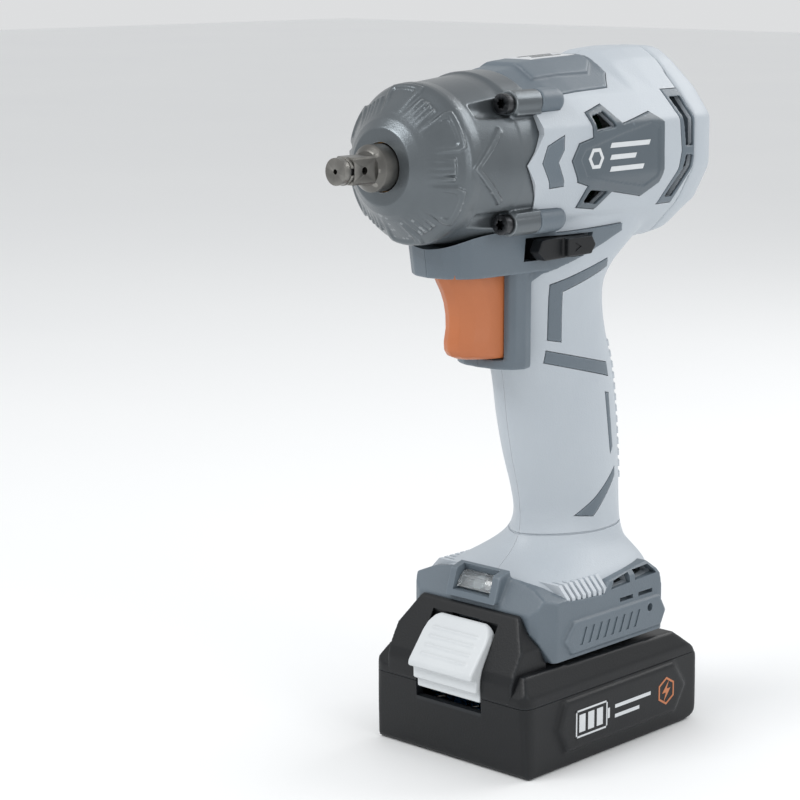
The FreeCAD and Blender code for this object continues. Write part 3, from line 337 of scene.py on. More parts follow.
looks = {
    # moulded ABS shell: spark-eroded matt grain, cool light grey, faint paler edges, partly wear and partly a
    # painted highlight
    "light_grey_plastic": finish("moulded ABS, light grey", "#A9B1B9", "#B7BEC4", 30.0, 0.45, 0.035,
                                 (0.40, 0.52), wearAndHighlight=("#C8CDD2", 0.7)),
    # moulded ABS inserts: same grain in dark blue-grey, slightly glossier, paler edges partly wear and partly
    # a painted highlight
    "dark_grey_plastic": finish("moulded ABS, slate", "#59646D", "#646F78", 24.0, 0.5, 0.04, (0.38, 0.50),
                                wearAndHighlight=("#7D8891", 0.8)),
    # side plates: finer grain, a satin sheen, paler edges partly wear and partly a painted highlight
    "plate_plastic": finish("moulded ABS, badge plate", "#4B555D", "#545F67", 20.0, 0.35, 0.025, (0.34, 0.46),
                            wearAndHighlight=("#727D85", 0.8)),
    # battery shells and lever: deep grey-black, coarse grain, paler on edges, partly scuffs and partly a
    # painted highlight
    "black_plastic": finish("glass-filled nylon, black", "#0F1113", "#15171A", 22.0, 0.5, 0.025,
                            (0.36, 0.48), wearAndHighlight=("#2C3034", 0.8), ior=1.38),
    # release button and lamp: white, barely yellowed in patches
    "white_plastic": finish("moulded ABS, white", "#C6CACD", "#D0D4D6", 16.0, 0.4, 0.02, (0.36, 0.46)),
    # trigger: dull orange, handled smooth, paler on its edges, partly handling wear and partly a painted
    # highlight
    "orange_plastic": finish("moulded acetal, orange", "#B0643A", "#BA6F44", 14.0, 0.5, 0.03, (0.36, 0.48),
                             wearAndHighlight=("#C98358", 0.8)),
    # hammer case: the fine metallic grain of a tinted coat, bright on its edges, partly rubbed wear and
    # partly a painted highlight
    "cast_case": finish("die-cast aluminium, coated", "#5C6266", "#6C7276", 16.0, 0.3, 0.03, (0.24, 0.36),
                        0.7, ("#A4A9AC", 0.9)),
    # bushes: warm brown-gold, dull from their pores
    "bronze": finish("sintered bronze", "#9C7A4E", "#85663F", 6.0, 0.3, 0.04, (0.35, 0.5), 1.0),
    # case bolts: blue-black, with paler edges, partly bare metal and partly a painted highlight
    "black_bolt": finish("black oxide steel", "#1E1F22", "#2A2B2E", 3.0, 0.2, 0.01, (0.28, 0.42), 1.0,
                         ("#6A6B6D", 0.8)),
    # small screws: pale, slightly mottled plating
    "screw_steel": finish("zinc-plated steel", "#A7A9A6", "#8E908E", 3.0, 0.2, 0.01, (0.25, 0.4), 1.0),
    # label: silver with a streak along its length
    "label_foil": finish("brushed silver foil", "#DADDDF", "#CDD0D3", 4.0, 0.25, 0.01, (0.28, 0.42), 0.35,
                         brushed=(1.0, 0.12, 1.0)),
    # lamp window: clear and glossy with the faintest ripple
    "clear_lens": finish("clear polycarbonate", "#E8ECEE", "#DDE3E6", 10.0, 1.5, 0.01, (0.05, 0.12), ior=1.58,
                         clear=0.85),
    # boards: solder-mask green over a woven texture
    "circuit_board": finish("glass-epoxy circuit board", "#1F5A3C", "#276847", 5.0, 0.6, 0.03, (0.35, 0.5)),
    # terminals: warm pale metal, lightly rubbed
    "contact_metal": finish("tinned copper", "#B7A98C", "#A39376", 4.0, 0.3, 0.01, (0.25, 0.4), 1.0),
    # springs: dark drawn wire
    "spring_steel": finish("spring steel wire", "#6F6E6C", "#5B5A58", 2.0, 0.2, 0.01, (0.25, 0.4), 1.0),
    # drive parts: dark ground steel with faint marks and bright corners, partly rubbed wear and partly a
    # painted highlight
    "drive_steel": finish("hardened drive steel", "#5C5B58", "#747370", 5.0, 0.25, 0.012, (0.26, 0.42), 1.0,
                          ("#A3A19C", 0.9)),
    # seals: soft black without shine
    "seal_rubber": finish("nitrile rubber", "#161718", "#1F2021", 3.0, 0.3, 0.02, (0.6, 0.75)),
    # balls and rollers: close to a mirror
    "ball_steel": finish("polished ball steel", "#9B9C9D", "#8B8C8D", 4.0, 0.3, 0.004, (0.1, 0.2), 1.0),
    # turned aluminium parts: bright and slightly hazed
    "aluminium": finish("machined aluminium", "#A5A7A9", "#939698", 6.0, 0.3, 0.01, (0.3, 0.45), 1.0),
    # motor stack: dull sheets, their edges drawn as thin bands across the stack
    "lamination": finish("laminated silicon steel", "#55585C", "#3F4245", 2.0, 0.35, 0.05, (0.4, 0.55), 0.9,
                         brushed=(1.0, 8.0, 1.0)),
    # magnets: a silvery plated skin
    "magnet": finish("nickel-plated magnet", "#8F9092", "#7C7D80", 4.0, 0.3, 0.01, (0.25, 0.4), 1.0),
    # windings: red-brown varnished wire, coarse enough to read as turns
    "copper": finish("enamelled copper wire", "#8C4A28", "#A05A33", 3.0, 0.45, 0.08, (0.25, 0.4), 0.8),
    # cells: smooth blue sleeves
    "cell_wrap": finish("heat-shrink cell wrap", "#2E6C9A", "#275E88", 12.0, 0.8, 0.02, (0.3, 0.42)),
}
# print on the plates and the pack: matt, a little greyed
ink = finish("screen-print ink, white", "#C9CDD0", "#D6D9DB", 5.0, 0.3, 0.01, (0.5, 0.62))
# floor: near white, no shine
floorBoard = finish("pale matt board", "#F1F2F3", "#F5F6F6", 400.0, 3.0, 0.01, (0.6, 0.7))
print("finishes", len(looks))


def dress(piece, material):
    piece.data.materials.clear()
    piece.data.materials.append(material)


def carried(piece, body, slot, *nodes, material=None):
    # a finished piece: the body it moves with, its finish and the nodes it is seen instead of
    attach(piece, body)
    dress(piece, material or looks[slot])
    if nodes:
        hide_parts(*nodes)


# the outer form that housing, inlays and covers share: a barrel on a handle
handle = {
    "points": 44, "sections": 60, "rearSquareness": 2.25,
    # height, front, rear, half width, squareness
    "stations": [
        (206.0, -33.0, 50.0, 24.5, 2.9), (196.0, -32.0, 47.5, 23.0, 2.8), (189.0, -30.5, 39.5, 21.6, 2.7),
        (182.0, -28.6, 31.6, 19.8, 2.5), (174.0, -27.6, 27.8, 18.2, 2.3), (163.0, -26.6, 28.6, 17.4, 2.2),
        (152.0, -24.7, 31.4, 17.3, 2.1), (140.0, -21.4, 35.3, 17.3, 2.05), (125.0, -19.2, 37.8, 17.3, 1.95),
        (110.0, -16.0, 39.3, 17.3, 1.8), (97.0, -12.4, 39.9, 17.4, 1.6), (87.0, -11.0, 39.8, 17.8, 1.45),
        (80.0, -11.6, 39.8, 18.8, 1.6), (75.0, -14.6, 40.2, 21.0, 2.0), (70.5, -20.0, 40.4, 25.0, 2.8),
        (66.0, -27.0, 39.0, 29.8, 4.2), (61.0, -30.5, 36.5, 32.8, 5.5), (57.0, -31.0, 35.0, 33.0, 6.0)],
}
barrel = {
    # y, spread, top, bottom
    "stations": [(-47.0, 0.93, 252.0, 195.0), (-34.0, 0.95, 254.9, 193.0), (-22.0, 0.975, 256.9, 191.2),
                 (-10.0, 1.0, 257.7, 189.5), (13.0, 1.015, 258.5, 188.5), (16.5, 1.018, 259.0, 188.3),
                 (22.5, 1.02, 261.0, 188.1), (36.0, 1.01, 262.0, 188.2), (50.0, 1.0, 262.0, 188.5)],
    "wall": 2.6,
}


def handleRing(z, front, rear, half, square, inset=0.0):
    middle, depth = (front + rear) / 2, (rear - front) / 2 - inset
    ring = []
    for step in range(handle["points"]):
        angle = 2 * math.pi * (step + 0.5) / handle["points"]
        c, s = math.cos(angle), math.sin(angle)
        power = square if s < 0 else max(square, handle["rearSquareness"])
        ring.append(((half - inset) * math.copysign(abs(c) ** (2 / power), c),
                     middle + depth * math.copysign(abs(s) ** (2 / power), s), z))
    return ring


def handleForm(bm, inset=0.0):
    loft(bm, [handleRing(*station, inset) for station in eased(handle["stations"], handle["sections"])])


def barrelRing(y, spread, top, bottom, inset=0.0):
    reach = 33.2 * spread - inset
    right = [(6.8, top - 0.3 - inset), (13.6 * spread, top - 4.4 - inset),
             (24.7 * spread - inset * 0.7, 246.0 - inset * 0.7), (reach, 235.8 - inset * 0.3),
             (reach, 217.0 + inset * 0.3), (25.7 * spread - inset * 0.7, 203.6 + inset * 0.7),
             (14.0 * spread, bottom + 3.0 + inset), (6.0, bottom + inset)]
    return [(x, y, z) for x, z in bothHalves(right)]


def barrelForm(bm, inset=0.0, stations=barrel["stations"], stretch=0.0):
    rings = [list(station) for station in stations]
    rings[0][0] -= stretch
    rings[-1][0] += stretch
    loft(bm, [barrelRing(*station, inset) for station in rings])


bodySkin = {"voxel": 1.0, "passes": 9}
bodyForm = boolean(built("bodyForm", barrelForm), built("tool", handleForm), "UNION", "EXACT")
softened(bodyForm, bodySkin["voxel"], bodySkin["passes"])
print("body form", len(bodyForm.data.polygons))


def nearForm(cutter, swell, operation="DIFFERENCE"):
    # the cutter trimmed by the body form, its surface moved out by swell
    return boolean(cutter, copyOf(bodyForm, "form", swell), operation)


def inlay(name, maker, proud, deep):
    # a piece let into the form's surface: the maker's solid between two moved copies of that surface
    piece = nearForm(nearForm(built(name, maker), proud, "INTERSECT"), -deep)
    return shaded(piece)


def pocket(piece, maker, deep):
    # room let into the piece, to a depth below the form's surface
    boolean(piece, nearForm(built("pocket", maker), -deep))


def bothOutlines(outlines, by=0.0, low=8.0, high=45.0):
    def make(bm):
        for outline in outlines:
            prism(bm, "X", grown(outline, by), low, high)
            prism(bm, "X", grown(outline, by), -high, -low)
    return make


# side plates with a badge field and two vent windows
plate = {
    "outline": [(-22.3, 223.9), (-18.6, 229.8), (-11.3, 231.5), (-11.8, 240.3), (-0.9, 242.8), (5.3, 235.7),
                (23.5, 239.1), (29.9, 235.3), (30.5, 212.5), (22.6, 207.8), (3.8, 211.0), (-2.1, 204.7),
                (-13.2, 206.1), (-11.9, 214.2), (-18.6, 216.0)],
    "badge": [(-18.0, 223.9), (-15.6, 227.6), (5.0, 232.4), (22.0, 235.6), (26.9, 233.2), (27.2, 215.0),
              (21.4, 211.6), (4.0, 214.2), (-14.6, 217.6)],
    "windows": [[(-9.6, 233.6), (-9.8, 238.9), (-2.2, 240.4), (1.6, 234.8)],
                [(-10.8, 208.0), (-9.8, 212.4), (1.2, 211.2), (-3.0, 206.8)]],
    "proud": 0.6, "deep": 0.95, "badgeProud": 0.15, "voxel": 0.42,
}


def makePlates():
    both = inlay("plates", bothOutlines([plate["outline"]]), plate["proud"], plate["deep"])
    pocket(both, bothOutlines([plate["badge"]]), -plate["badgeProud"])
    carved(both, bothOutlines(plate["windows"], 0.0, 10.0))
    softened(both, plate["voxel"], 3)
    return splitAcross(both, ("plate_left", "plate_right"), 0.06)


for piece, node in zip(makePlates(), ("side_plate_left", "side_plate_right")):
    carried(piece, "housing", "plate_plastic", node)
print("plates")


# grip stripes and the chevron ahead of the plate
stripes = {
    "outlines": [[(15.1, 184.4), (17.5, 181.0), (-8.6, 173.9), (-7.4, 154.8), (-13.4, 156.0), (-14.8, 177.0)],
                 [(-13.5, 151.9), (20.8, 143.5), (22.2, 138.1), (-13.7, 147.3)],
                 [(19.4, 132.2), (22.3, 131.4), (25.3, 110.0), (23.4, 107.7)],
                 [(26.9, 101.9), (26.9, 98.5), (11.8, 85.2), (4.2, 86.1)],
                 [(-34.8, 229.8), (-26.2, 233.2), (-26.4, 228.0), (-29.3, 223.8), (-25.4, 215.0),
                  (-32.4, 214.7), (-37.4, 223.9)]],
    "proud": 0.3, "deep": 0.9, "voxel": 0.45,
}


def makeInlays():
    both = inlay("inlays", bothOutlines(stripes["outlines"]), stripes["proud"], stripes["deep"])
    softened(both, stripes["voxel"], 3)
    return splitAcross(both, ("inlays_left", "inlays_right"), 0.06)


for piece, node in zip(makeInlays(), ("grip_inlays_left", "grip_inlays_right")):
    carried(piece, "housing", "dark_grey_plastic", node)


# dark surround beside the rear vents
vents = {
    "openings": [[(41.0, 243.4), (48.2, 243.4), (49.0, 225.2), (44.2, 225.2)],
                 [(44.4, 221.8), (48.9, 221.8), (44.2, 206.0), (39.2, 206.0)]],
    "surround": [(38.8, 246.2), (49.4, 246.2), (49.9, 226.0), (49.9, 221.2), (45.4, 203.4), (36.4, 203.4),
                 (41.8, 223.6)],
    "proud": 0.25, "deep": 0.9, "voxel": 0.42,
}


def makeSurrounds():
    both = inlay("surrounds", bothOutlines([vents["surround"]]), vents["proud"], vents["deep"])
    carved(both, bothOutlines(vents["openings"], 0.0, 10.0))
    softened(both, vents["voxel"], 3)
    return splitAcross(both, ("surround_left", "surround_right"), 0.06)


for piece in makeSurrounds():
    carried(piece, "housing", "dark_grey_plastic")
print("inlays")


# rooms that more than one piece leaves free
bosses = [(x, axisZ + rise) for x in (-24.0, 24.0) for rise in (-21.2, 21.2)]


def mechanism(front, back):
    return shape(rod, "Y", 30.65, front, back, 0.0, axisZ, 96)


def triggerRoom(bm):
    # the trigger's opening in front, and the direction lever's slot across
    box(bm, (-10.3, -60.0, 150.6), (10.3, -9.0, 184.4))
    box(bm, (-40.0, -31.6, 187.2), (40.0, 0.6, 195.9))


def boltHoles(bm):
    for x, z in bosses:
        rod(bm, "Y", 2.1, -60.0, -16.0, x, z, 32)


def bossPods(upper, end):
    # round-ended pods over two of the bolt bosses
    def make(bm):
        for x, z in bosses:
            if (z > axisZ) == upper:
                rod(bm, "Y", 4.8, -34.0, end, x, z, 48)
                spot = Matrix.Translation((x, end, z))
                bmesh.ops.create_icosphere(bm, subdivisions=4, radius=4.8, matrix=spot)
    return make


# collar round the trigger, with the pad under the hammer case
collar = {
    "outline": [(-40.0, 197.0), (-34.0, 203.5), (-18.0, 202.5), (-17.5, 196.8), (18.5, 197.6), (18.8, 194.6),
                (0.5, 187.8), (-19.5, 181.4), (-26.4, 174.6), (-27.2, 156.0), (-27.6, 149.4), (-40.0, 149.0)],
    "pad": [(-20.4, -14.0), (-20.0, -26.0), (-18.2, -40.0), (-17.0, -52.0), (-15.6, -56.8), (-12.8, -60.6),
            (-7.6, -64.2), (0.0, -65.8)],
    "rim": [(10.0, -33.0), (12.4, -32.9), (14.6, -31.2), (15.9, -27.4), (14.8, -23.0)],
    "lip": [(0.0, -36.0), (7.0, -35.4), (10.6, -33.9), (13.6, -31.8), (15.9, -27.4), (14.8, -23.0)],
    "proud": 1.2, "deep": 1.0, "voxel": 0.55,
}


def makeCollar():
    skin = inlay("collar", shape(prism, "X", collar["outline"], -60.0, 60.0), collar["proud"], collar["deep"])

    def pad(bm):
        left = collar["pad"]
        verts = prism(bm, "Z", left + [(-x, y) for x, y in reversed(left[:-1])], 182.8, 200.0)
        bmesh.ops.scale(bm, verts=verts[:len(verts) // 2], vec=(0.93, 0.965, 1.0))
    joined(skin, pad)
    lip = collar["lip"] + [(-x, y) for x, y in reversed(collar["lip"][1:])]
    for maker in (shape(prism, "Z", bothHalves(collar["rim"]), 150.0, 184.0),
                  shape(prism, "Z", lip, 146.9, 150.5), bossPods(False, -22.5)):
        boolean(skin, nearForm(built("front", maker), -collar["deep"]), "UNION")
    softened(skin, collar["voxel"], 4)
    carved(skin, mechanism(-80.0, -20.0), triggerRoom, boltHoles)
    return splitAcross(skin, ("collar_left_skin", "collar_right_skin"), 0.08)


for piece, node in zip(makeCollar(), ("collar_left", "collar_right")):
    carried(piece, "housing", "dark_grey_plastic", node)
print("collar")


# top cover with its boss pods and silver label
topCover = {
    "outline": [(-23.0, -34.0), (23.0, -34.0), (23.0, -20.0), (22.0, 10.0), (16.0, 16.5), (-16.0, 16.5),
                (-22.0, 10.0), (-23.0, -20.0)],
    "rise": [(-15.0, -24.0), (15.0, -24.0), (16.0, 6.0), (11.0, 13.0), (-11.0, 13.0), (-16.0, 6.0)],
    "floor": 246.5, "proud": 0.5, "deep": 0.95, "voxel": 0.5,
}


def makeTop():
    floorZ = topCover["floor"]
    cover = inlay("top_cover", shape(prism, "Z", topCover["outline"], floorZ, 270.0), topCover["proud"],
                  topCover["deep"])
    rise = inlay("rise", shape(prism, "Z", topCover["rise"], floorZ, 270.0), 1.5, 0.6)
    boolean(cover, rise, "UNION")
    boolean(cover, nearForm(built("pods", bossPods(True, -24.5)), -1.0), "UNION")
    carved(cover, shape(box, (-60, -70, 200), (60, -34.0, 290)))
    softened(cover, topCover["voxel"], 3)
    return shaded(carved(cover, mechanism(-60.0, -33.0), boltHoles))


carried(makeTop(), "housing", "dark_grey_plastic", "top_insert")
label = inlay("label", shape(box, (-6.5, -15.0, 250.0), (6.5, 10.0, 270.0)), 1.62, -1.4)
carried(label, "housing", "label_foil", "top_label")
print("top")


# housing: light shell with pockets for everything let into it
footVents = [[(2.0, 61.2), (3.6, 64.4), (13.6, 65.6), (13.6, 61.8)],
             [(16.6, 62.0), (16.6, 65.9), (26.6, 66.2), (30.0, 62.4)]]
housing = {
    "gap": 0.22,
    # joint line against the hammer case, with its point in the middle
    "seam": [(-70.0, 280.0), (-34.5, 280.0), (-34.8, 245.0), (-36.5, 241.0), (-36.7, 234.0), (-40.8, 228.0),
             (-45.1, 223.6), (-41.0, 217.0), (-38.0, 211.6), (-36.2, 207.0), (-34.8, 203.0), (-34.6, 199.0),
             (-70.0, 199.0)],
    "slope": [(-38.0, 57.8), (-30.0, 69.2), (-25.0, 70.5), (-25.0, 90.0), (-60.0, 90.0), (-60.0, 57.8)],
    "ribs": 8, "ribPitch": 3.1, "ridges": 13, "ridgePitch": 4.4,
}
# place and head height of each housing screw
screwPlaces = [(12.0, 193.2, -16.9), (38.0, 200.5, -16.9), (40.0, 252.0, -16.9), (20.5, 170.0, -15.6),
               (-9.0, 139.0, -13.4), (24.0, 124.0, -15.4), (5.0, 98.0, -15.4), (24.0, 86.0, -15.8)]


def footBody(bm, grow=0.0):
    right = [(27.0 + grow, -31.0 - grow), (31.0 + grow, -27.0 - grow), (31.0 + grow, 30.0 + grow),
             (27.0 + grow, 33.0 + grow)]
    prism(bm, "Z", bothHalves(right), 39.2 - 10 * grow, 63.4)


def footRooms(bm):
    # where the battery's deck and neck slide in
    box(bm, (-27.2, -40.0, 44.0), (27.2, 34.0, 51.4))
    box(bm, (-22.0, -39.0, 30.0), (22.0, 33.9, 45.0))


def boardRooms(bm):
    box(bm, (-27.5, -25.0, 54.0), (27.5, 29.0, 61.6))
    box(bm, (-9.0, 0.0, 50.0), (9.0, 24.0, 70.0))


def makeHousing():
    def flankRibs(bm):
        for step in range(housing["ribs"]):
            y = -23.6 + housing["ribPitch"] * step
            for side in (-1, 1):
                prism(bm, "Y", [(side * 18.0, 57.0), (side * 34.0, 57.0), (side * 34.0, 62.4),
                                (side * 29.8, 66.9), (side * 18.0, 66.9)], y, y + 1.8)

    def gripRidges(bm):
        for step in range(housing["ridges"]):
            z = 96.0 + housing["ridgePitch"] * step
            box(bm, (-12.5, 16.0, z), (12.5, 60.0, z + 2.0))

    def bossRooms(bm):
        for x, z in bosses:
            rod(bm, "Y", 4.9, -60.0, -23.0, x, z, 48)

    def screwHoles(bm):
        for y, z, top in screwPlaces:
            rod(bm, "X", 3.1, -60.0, top + 2.4, y, z, 40)
            rod(bm, "X", 1.6, top + 2.0, 1.0, y, z, 24)

    wall, gap = barrel["wall"], housing["gap"]
    shell = joined(copyOf(bodyForm, "housing"), footBody, flankRibs)
    boolean(shell, nearForm(built("ridges", gripRidges), 0.55, "INTERSECT"), "UNION")
    carved(shell, shape(barrelForm, wall, barrel["stations"], 8.0), shape(handleForm, wall),
           mechanism(-60.0, -33.0), shape(prism, "X", housing["seam"], -60, 60), footRooms, boardRooms)
    pocket(shell, bothOutlines(stripes["outlines"], gap), 1.0)
    pocket(shell, bothOutlines([plate["outline"], vents["surround"]], gap), 1.0)
    pocket(shell, bothOutlines([collar["outline"]], 0.2, 0.0, 60.0), 1.2)
    pocket(shell, shape(prism, "Z", grown(topCover["outline"], gap), topCover["floor"], 270), 1.0)
    pocket(shell, shape(box, (-40, -30, 79.2), (40, 60, 80.0)), 0.6)
    carved(shell, bothOutlines(plate["windows"] + vents["openings"], 0.0, 10.0),
           bothOutlines(footVents, 0.0, 24.0), triggerRoom,
           shape(prism, "X", housing["slope"], -45.0, 45.0), bossRooms)
    halves = splitAcross(shell, ("shell_left", "shell_right"), 0.07, 80.0)
    carved(halves[1], screwHoles)
    return halves


for piece, node in zip(makeHousing(), ("housing_left", "housing_right")):
    carried(shaded(piece, 28.0), "housing", "light_grey_plastic", node)
    print(node, len(piece.data.polygons))


# housing screws: pan heads with a cross recess
def makeScrews():
    def heads(bm):
        for y, z, top in screwPlaces:
            rod(bm, "X", 2.9, top, top + 2.35, y, z, 40)

    def shanks(bm):
        for y, z, top in screwPlaces:
            rod(bm, "X", 1.5, top + 2.2, 10.0, y, z, 24)

    def recess(wide, tall):
        def make(bm):
            for y, z, top in screwPlaces:
                box(bm, (top - 0.5, y - wide, z - tall), (top + 1.2, y + wide, z + tall))
        return make
    screws = joined(rounded(built("body_screws", heads), 0.4), shanks)
    return shaded(carved(screws, recess(1.6, 0.4), recess(0.4, 1.6)))


carried(makeScrews(), "housing", "screw_steel", "housing_screws")


# rear cap: a shallow field with louvres, four screws
cap = {
    # y, spread, top, bottom, outside and inside
    "stations": [(50.0, 1.0, 262.0, 188.5), (56.5, 0.985, 261.8, 189.0), (61.0, 0.95, 260.6, 190.4),
                 (63.8, 0.905, 258.6, 192.6), (65.0, 0.84, 256.0, 195.4)],
    "inner": [(48.0, 1.0, 262.0, 188.5), (57.0, 0.98, 261.0, 189.6), (62.2, 0.93, 258.0, 192.4)],
    "field": [(-19.0, 212.0), (-12.0, 203.5), (12.0, 203.5), (19.0, 212.0), (19.0, 236.0), (12.0, 244.5),
              (-12.0, 244.5), (-19.0, 236.0)],
    "louvres": 5, "pitch": 5.4, "voxel": 0.9, "passes": 16,
    "screws": [(-13.0, 250.5), (13.0, 250.5), (-12.0, 197.5), (12.0, 197.5)],
}


def makeCap():
    def louvres(bm):
        for step in range(cap["louvres"]):
            rise = cap["pitch"] * step
            prism(bm, "X", [(63.4, 212.0 + rise), (66.0, 210.6 + rise), (66.0, 213.4 + rise),
                            (63.4, 214.8 + rise)], -12.0, 12.0)

    def holes(bm):
        for x, z in cap["screws"]:
            rod(bm, "Y", 3.1, 62.2, 70.0, x, z, 40)
            rod(bm, "Y", 1.7, 50.0, 66.0, x, z, 24)
    shell = built("cap", shape(barrelForm, 0.0, cap["stations"]))
    softened(shell, cap["voxel"], cap["passes"])
    return shaded(carved(shell, shape(box, (-60, 30, 150), (60, 50.4, 290)),
                         shape(prism, "Y", cap["field"], 64.3, 70.0), louvres,
                         shape(barrelForm, barrel["wall"], cap["inner"]), holes))


carried(makeCap(), "housing", "light_grey_plastic", "rear_cap")
print("cap")


# hammer case, one casting with ribs, raised plates and bolt bosses; profiles are (y, radius)
case = {
    "outer": [(-87.0, 0.0), (-87.0, 13.6), (-86.6, 14.2), (-84.5, 17.0), (-75.6, 25.6), (-73.6, 27.4),
              (-71.8, 28.5), (-70.0, 28.7), (-66.0, 28.5), (-52.0, 29.8), (-47.0, 30.1), (-46.0, 30.3),
              (-34.0, 30.5), (-34.0, 0.0)],
    "cavity": [(-90.0, 0.0), (-90.0, 8.8), (-85.0, 8.8), (-85.0, 11.6), (-66.5, 11.6), (-66.5, 25.4),
               (-52.0, 26.0), (-34.0, 27.4), (-33.0, 27.4), (-33.0, 0.0)],
    # how far the ribs and plates stand out of the cone, and how deep the fields go
    "ribTops": [(-85.6, 0.0), (-85.6, 15.5), (-76.5, 25.9), (-74.4, 28.0), (-72.0, 29.1), (-72.0, 0.0)],
    "fieldFloor": [(-88.0, 0.0), (-88.0, 13.0), (-84.5, 17.1), (-75.6, 25.8), (-73.6, 27.6), (-70.0, 29.0),
                   (-70.0, 0.0)],
    "band": [(-45.5, 29.0), (-45.5, 30.6), (-44.6, 31.3), (-34.0, 31.6), (-34.0, 29.0)],
    "creaseTops": [(-75.0, 0.0), (-75.0, 27.4), (-70.0, 29.6), (-66.0, 29.7), (-50.0, 30.9), (-50.0, 0.0)],
    # y and height from the axis
    "plate": [(-84.8, -3.2), (-84.8, 3.2), (-75.4, 7.4), (-73.2, 7.0), (-73.2, -7.0), (-75.4, -7.4)],
    "field": [(-86.6, -1.5), (-86.6, 1.5), (-76.4, 5.3), (-75.0, 5.1), (-75.0, -5.1), (-76.4, -5.3)],
    "groups": 6, "ribOffsets": (-3.3, -1.1, 1.1, 3.3), "voxel": 0.42,
}


def makeCase():
    def castBosses(bm):
        for x, z in bosses:
            rod(bm, "Y", 4.5, -48.0, -34.0, x, z, 48)
            lean = math.copysign(1, x)
            high = math.copysign(1, z - axisZ)
            prism(bm, "Y", [(x + lean * 2.0, z + high * 4.2), (x - lean * 8.0, z + high * 3.0),
                            (x - lean * 8.0, z - high * 8.0), (x + lean * 4.2, z - high * 4.0)], -47.0, -34.0)

    def coneRibs(bm):
        for group in range(case["groups"]):
            for offset in case["ribOffsets"]:
                verts = box(bm, (14.0, -85.2, axisZ + offset - 0.65), (27.0, -76.6, axisZ + offset + 0.65))
                aboutAxis(bm, verts, 360.0 / case["groups"] * group)

    def between(outline, reach):
        # one block in each gap between the rib groups
        def make(bm):
            for group in range(case["groups"]):
                verts = prism(bm, "X", [(y, axisZ + z) for y, z in outline], 13.0, reach)
                aboutAxis(bm, verts, 360.0 / case["groups"] * (group + 0.5))
        return make

    def creases(bm):
        # two arrow lines on the barrel, pointing forwards
        for side in (-1, 1):
            for high in (-1, 1):
                verts = box(bm, (26.0, -1.0, -1.0), (31.0, 19.0, 1.0))
                lean = Matrix.Rotation(math.radians(-42 * high), 3, "X")
                bmesh.ops.rotate(bm, verts=verts, cent=(0, 0, 0), matrix=lean)
                bmesh.ops.translate(bm, verts=verts, vec=(0, -69.5, axisZ))
                bmesh.ops.scale(bm, verts=verts, vec=(side, 1, 1))

    def channels(bm):
        for x, z in bosses:
            rod(bm, "Y", 4.9, -64.0, -48.0, x, z, 40)

    def holes(bm):
        for x, z in bosses:
            rod(bm, "Y", 2.1, -60.0, -30.0, x, z, 32)
        rod(bm, "Y", 11.55, -85.0, -60.0, 0.0, axisZ, 96)
    shell = joined(built("case", shape(lathe, case["outer"], 160)), castBosses)
    tops = shape(lathe, case["ribTops"], 96)
    boolean(shell, within(built("ribs", coneRibs), tops), "UNION")
    boolean(shell, within(built("plates", between(case["plate"], 29.4)), tops), "UNION")
    fields = carved(built("fields", between(case["field"], 33.0)), shape(lathe, case["fieldFloor"], 96))
    boolean(shell, fields)
    band = within(built("band", shape(lathe, case["band"], 128)),
                  shape(box, (-21.0, -50.0, 244.0), (21.0, -30.0, 270.0)))
    boolean(shell, band, "UNION")
    boolean(shell, within(built("creases", creases), shape(lathe, case["creaseTops"], 96)), "UNION")
    carved(shell, channels)
    softened(shell, case["voxel"], 3)
    return shaded(carved(shell, shape(lathe, case["cavity"], 96), holes), 40.0)


carried(makeCase(), "housing", "cast_case", "hammer_case")
print("case")


# trigger
trigger = {
    # height and front reach, top to bottom
    "fronts": [(183.6, -58.4), (180.4, -56.6), (176.6, -54.2), (172.4, -52.4), (168.0, -51.4), (163.0, -51.2),
               (158.0, -52.2), (155.0, -52.0), (152.8, -50.4), (151.4, -46.6), (151.0, -43.0)],
    "voxel": 0.45, "passes": 5,
}


def makeTrigger():
    rings = []
    for z, front in trigger["fronts"]:
        right = [(9.7, -20.0), (9.9, front + 18.0), (9.3, front + 12.0), (7.0, front + 6.4),
                 (3.4, front + 1.5)]
        rings.append([(x, y, z) for x, y in right + [(0.0, front)] + [(-x, y) for x, y in reversed(right)]])
    block = built("trigger", shape(loft, rings))
    carved(block, shape(box, (-7.6, -38.0, 154.0), (7.6, -10.0, 181.0)))
    softened(block, trigger["voxel"], trigger["passes"])
    return shaded(joined(block, shape(rod, "Y", 3.3, -41.0, -5.0, 0.0, 168.0, 40)), 40.0)


carried(makeTrigger(), "trigger", "orange_plastic", "trigger")


# direction lever: a bar through the housing with a thumb pad and an arrow at each end
lever = {
    "end": [(-31.0, 191.0), (-29.0, 194.9), (-27.0, 195.4), (-4.0, 195.4), (0.0, 191.6), (-2.0, 188.0),
            (-27.0, 187.6)],
    "thumb": [(-17.0, 188.4), (-17.0, 195.0), (-3.2, 195.0), (-1.0, 191.6), (-3.6, 188.4)],
    "arrow": [(-13.0, 190.0), (-13.0, 193.4), (-9.4, 191.7)],
    "voxel": 0.35, "passes": 5,
}


def makeLever():
    def flanges(bm):
        for low, high in bothSides(14.0, 21.0):
            box(bm, (low, -26.0, 190.0), (high, -8.0, 195.0))

    def sided(outline, near, far):
        def make(bm):
            for low, high in bothSides(near, far):
                prism(bm, "X", outline, low, high)
        return make
    bar = built("lever", shape(box, (-21.0, -26.0, 187.8), (21.0, -8.0, 192.4)))
    joined(bar, flanges, sided(lever["end"], 20.0, 24.6), sided(lever["thumb"], 24.0, 27.0))
    softened(bar, lever["voxel"], lever["passes"])
    return shaded(carved(bar, sided(lever["arrow"], 26.7, 28.0)), 40.0)


carried(makeLever(), "direction_lever", "black_plastic", "direction_lever")
print("trigger and lever")


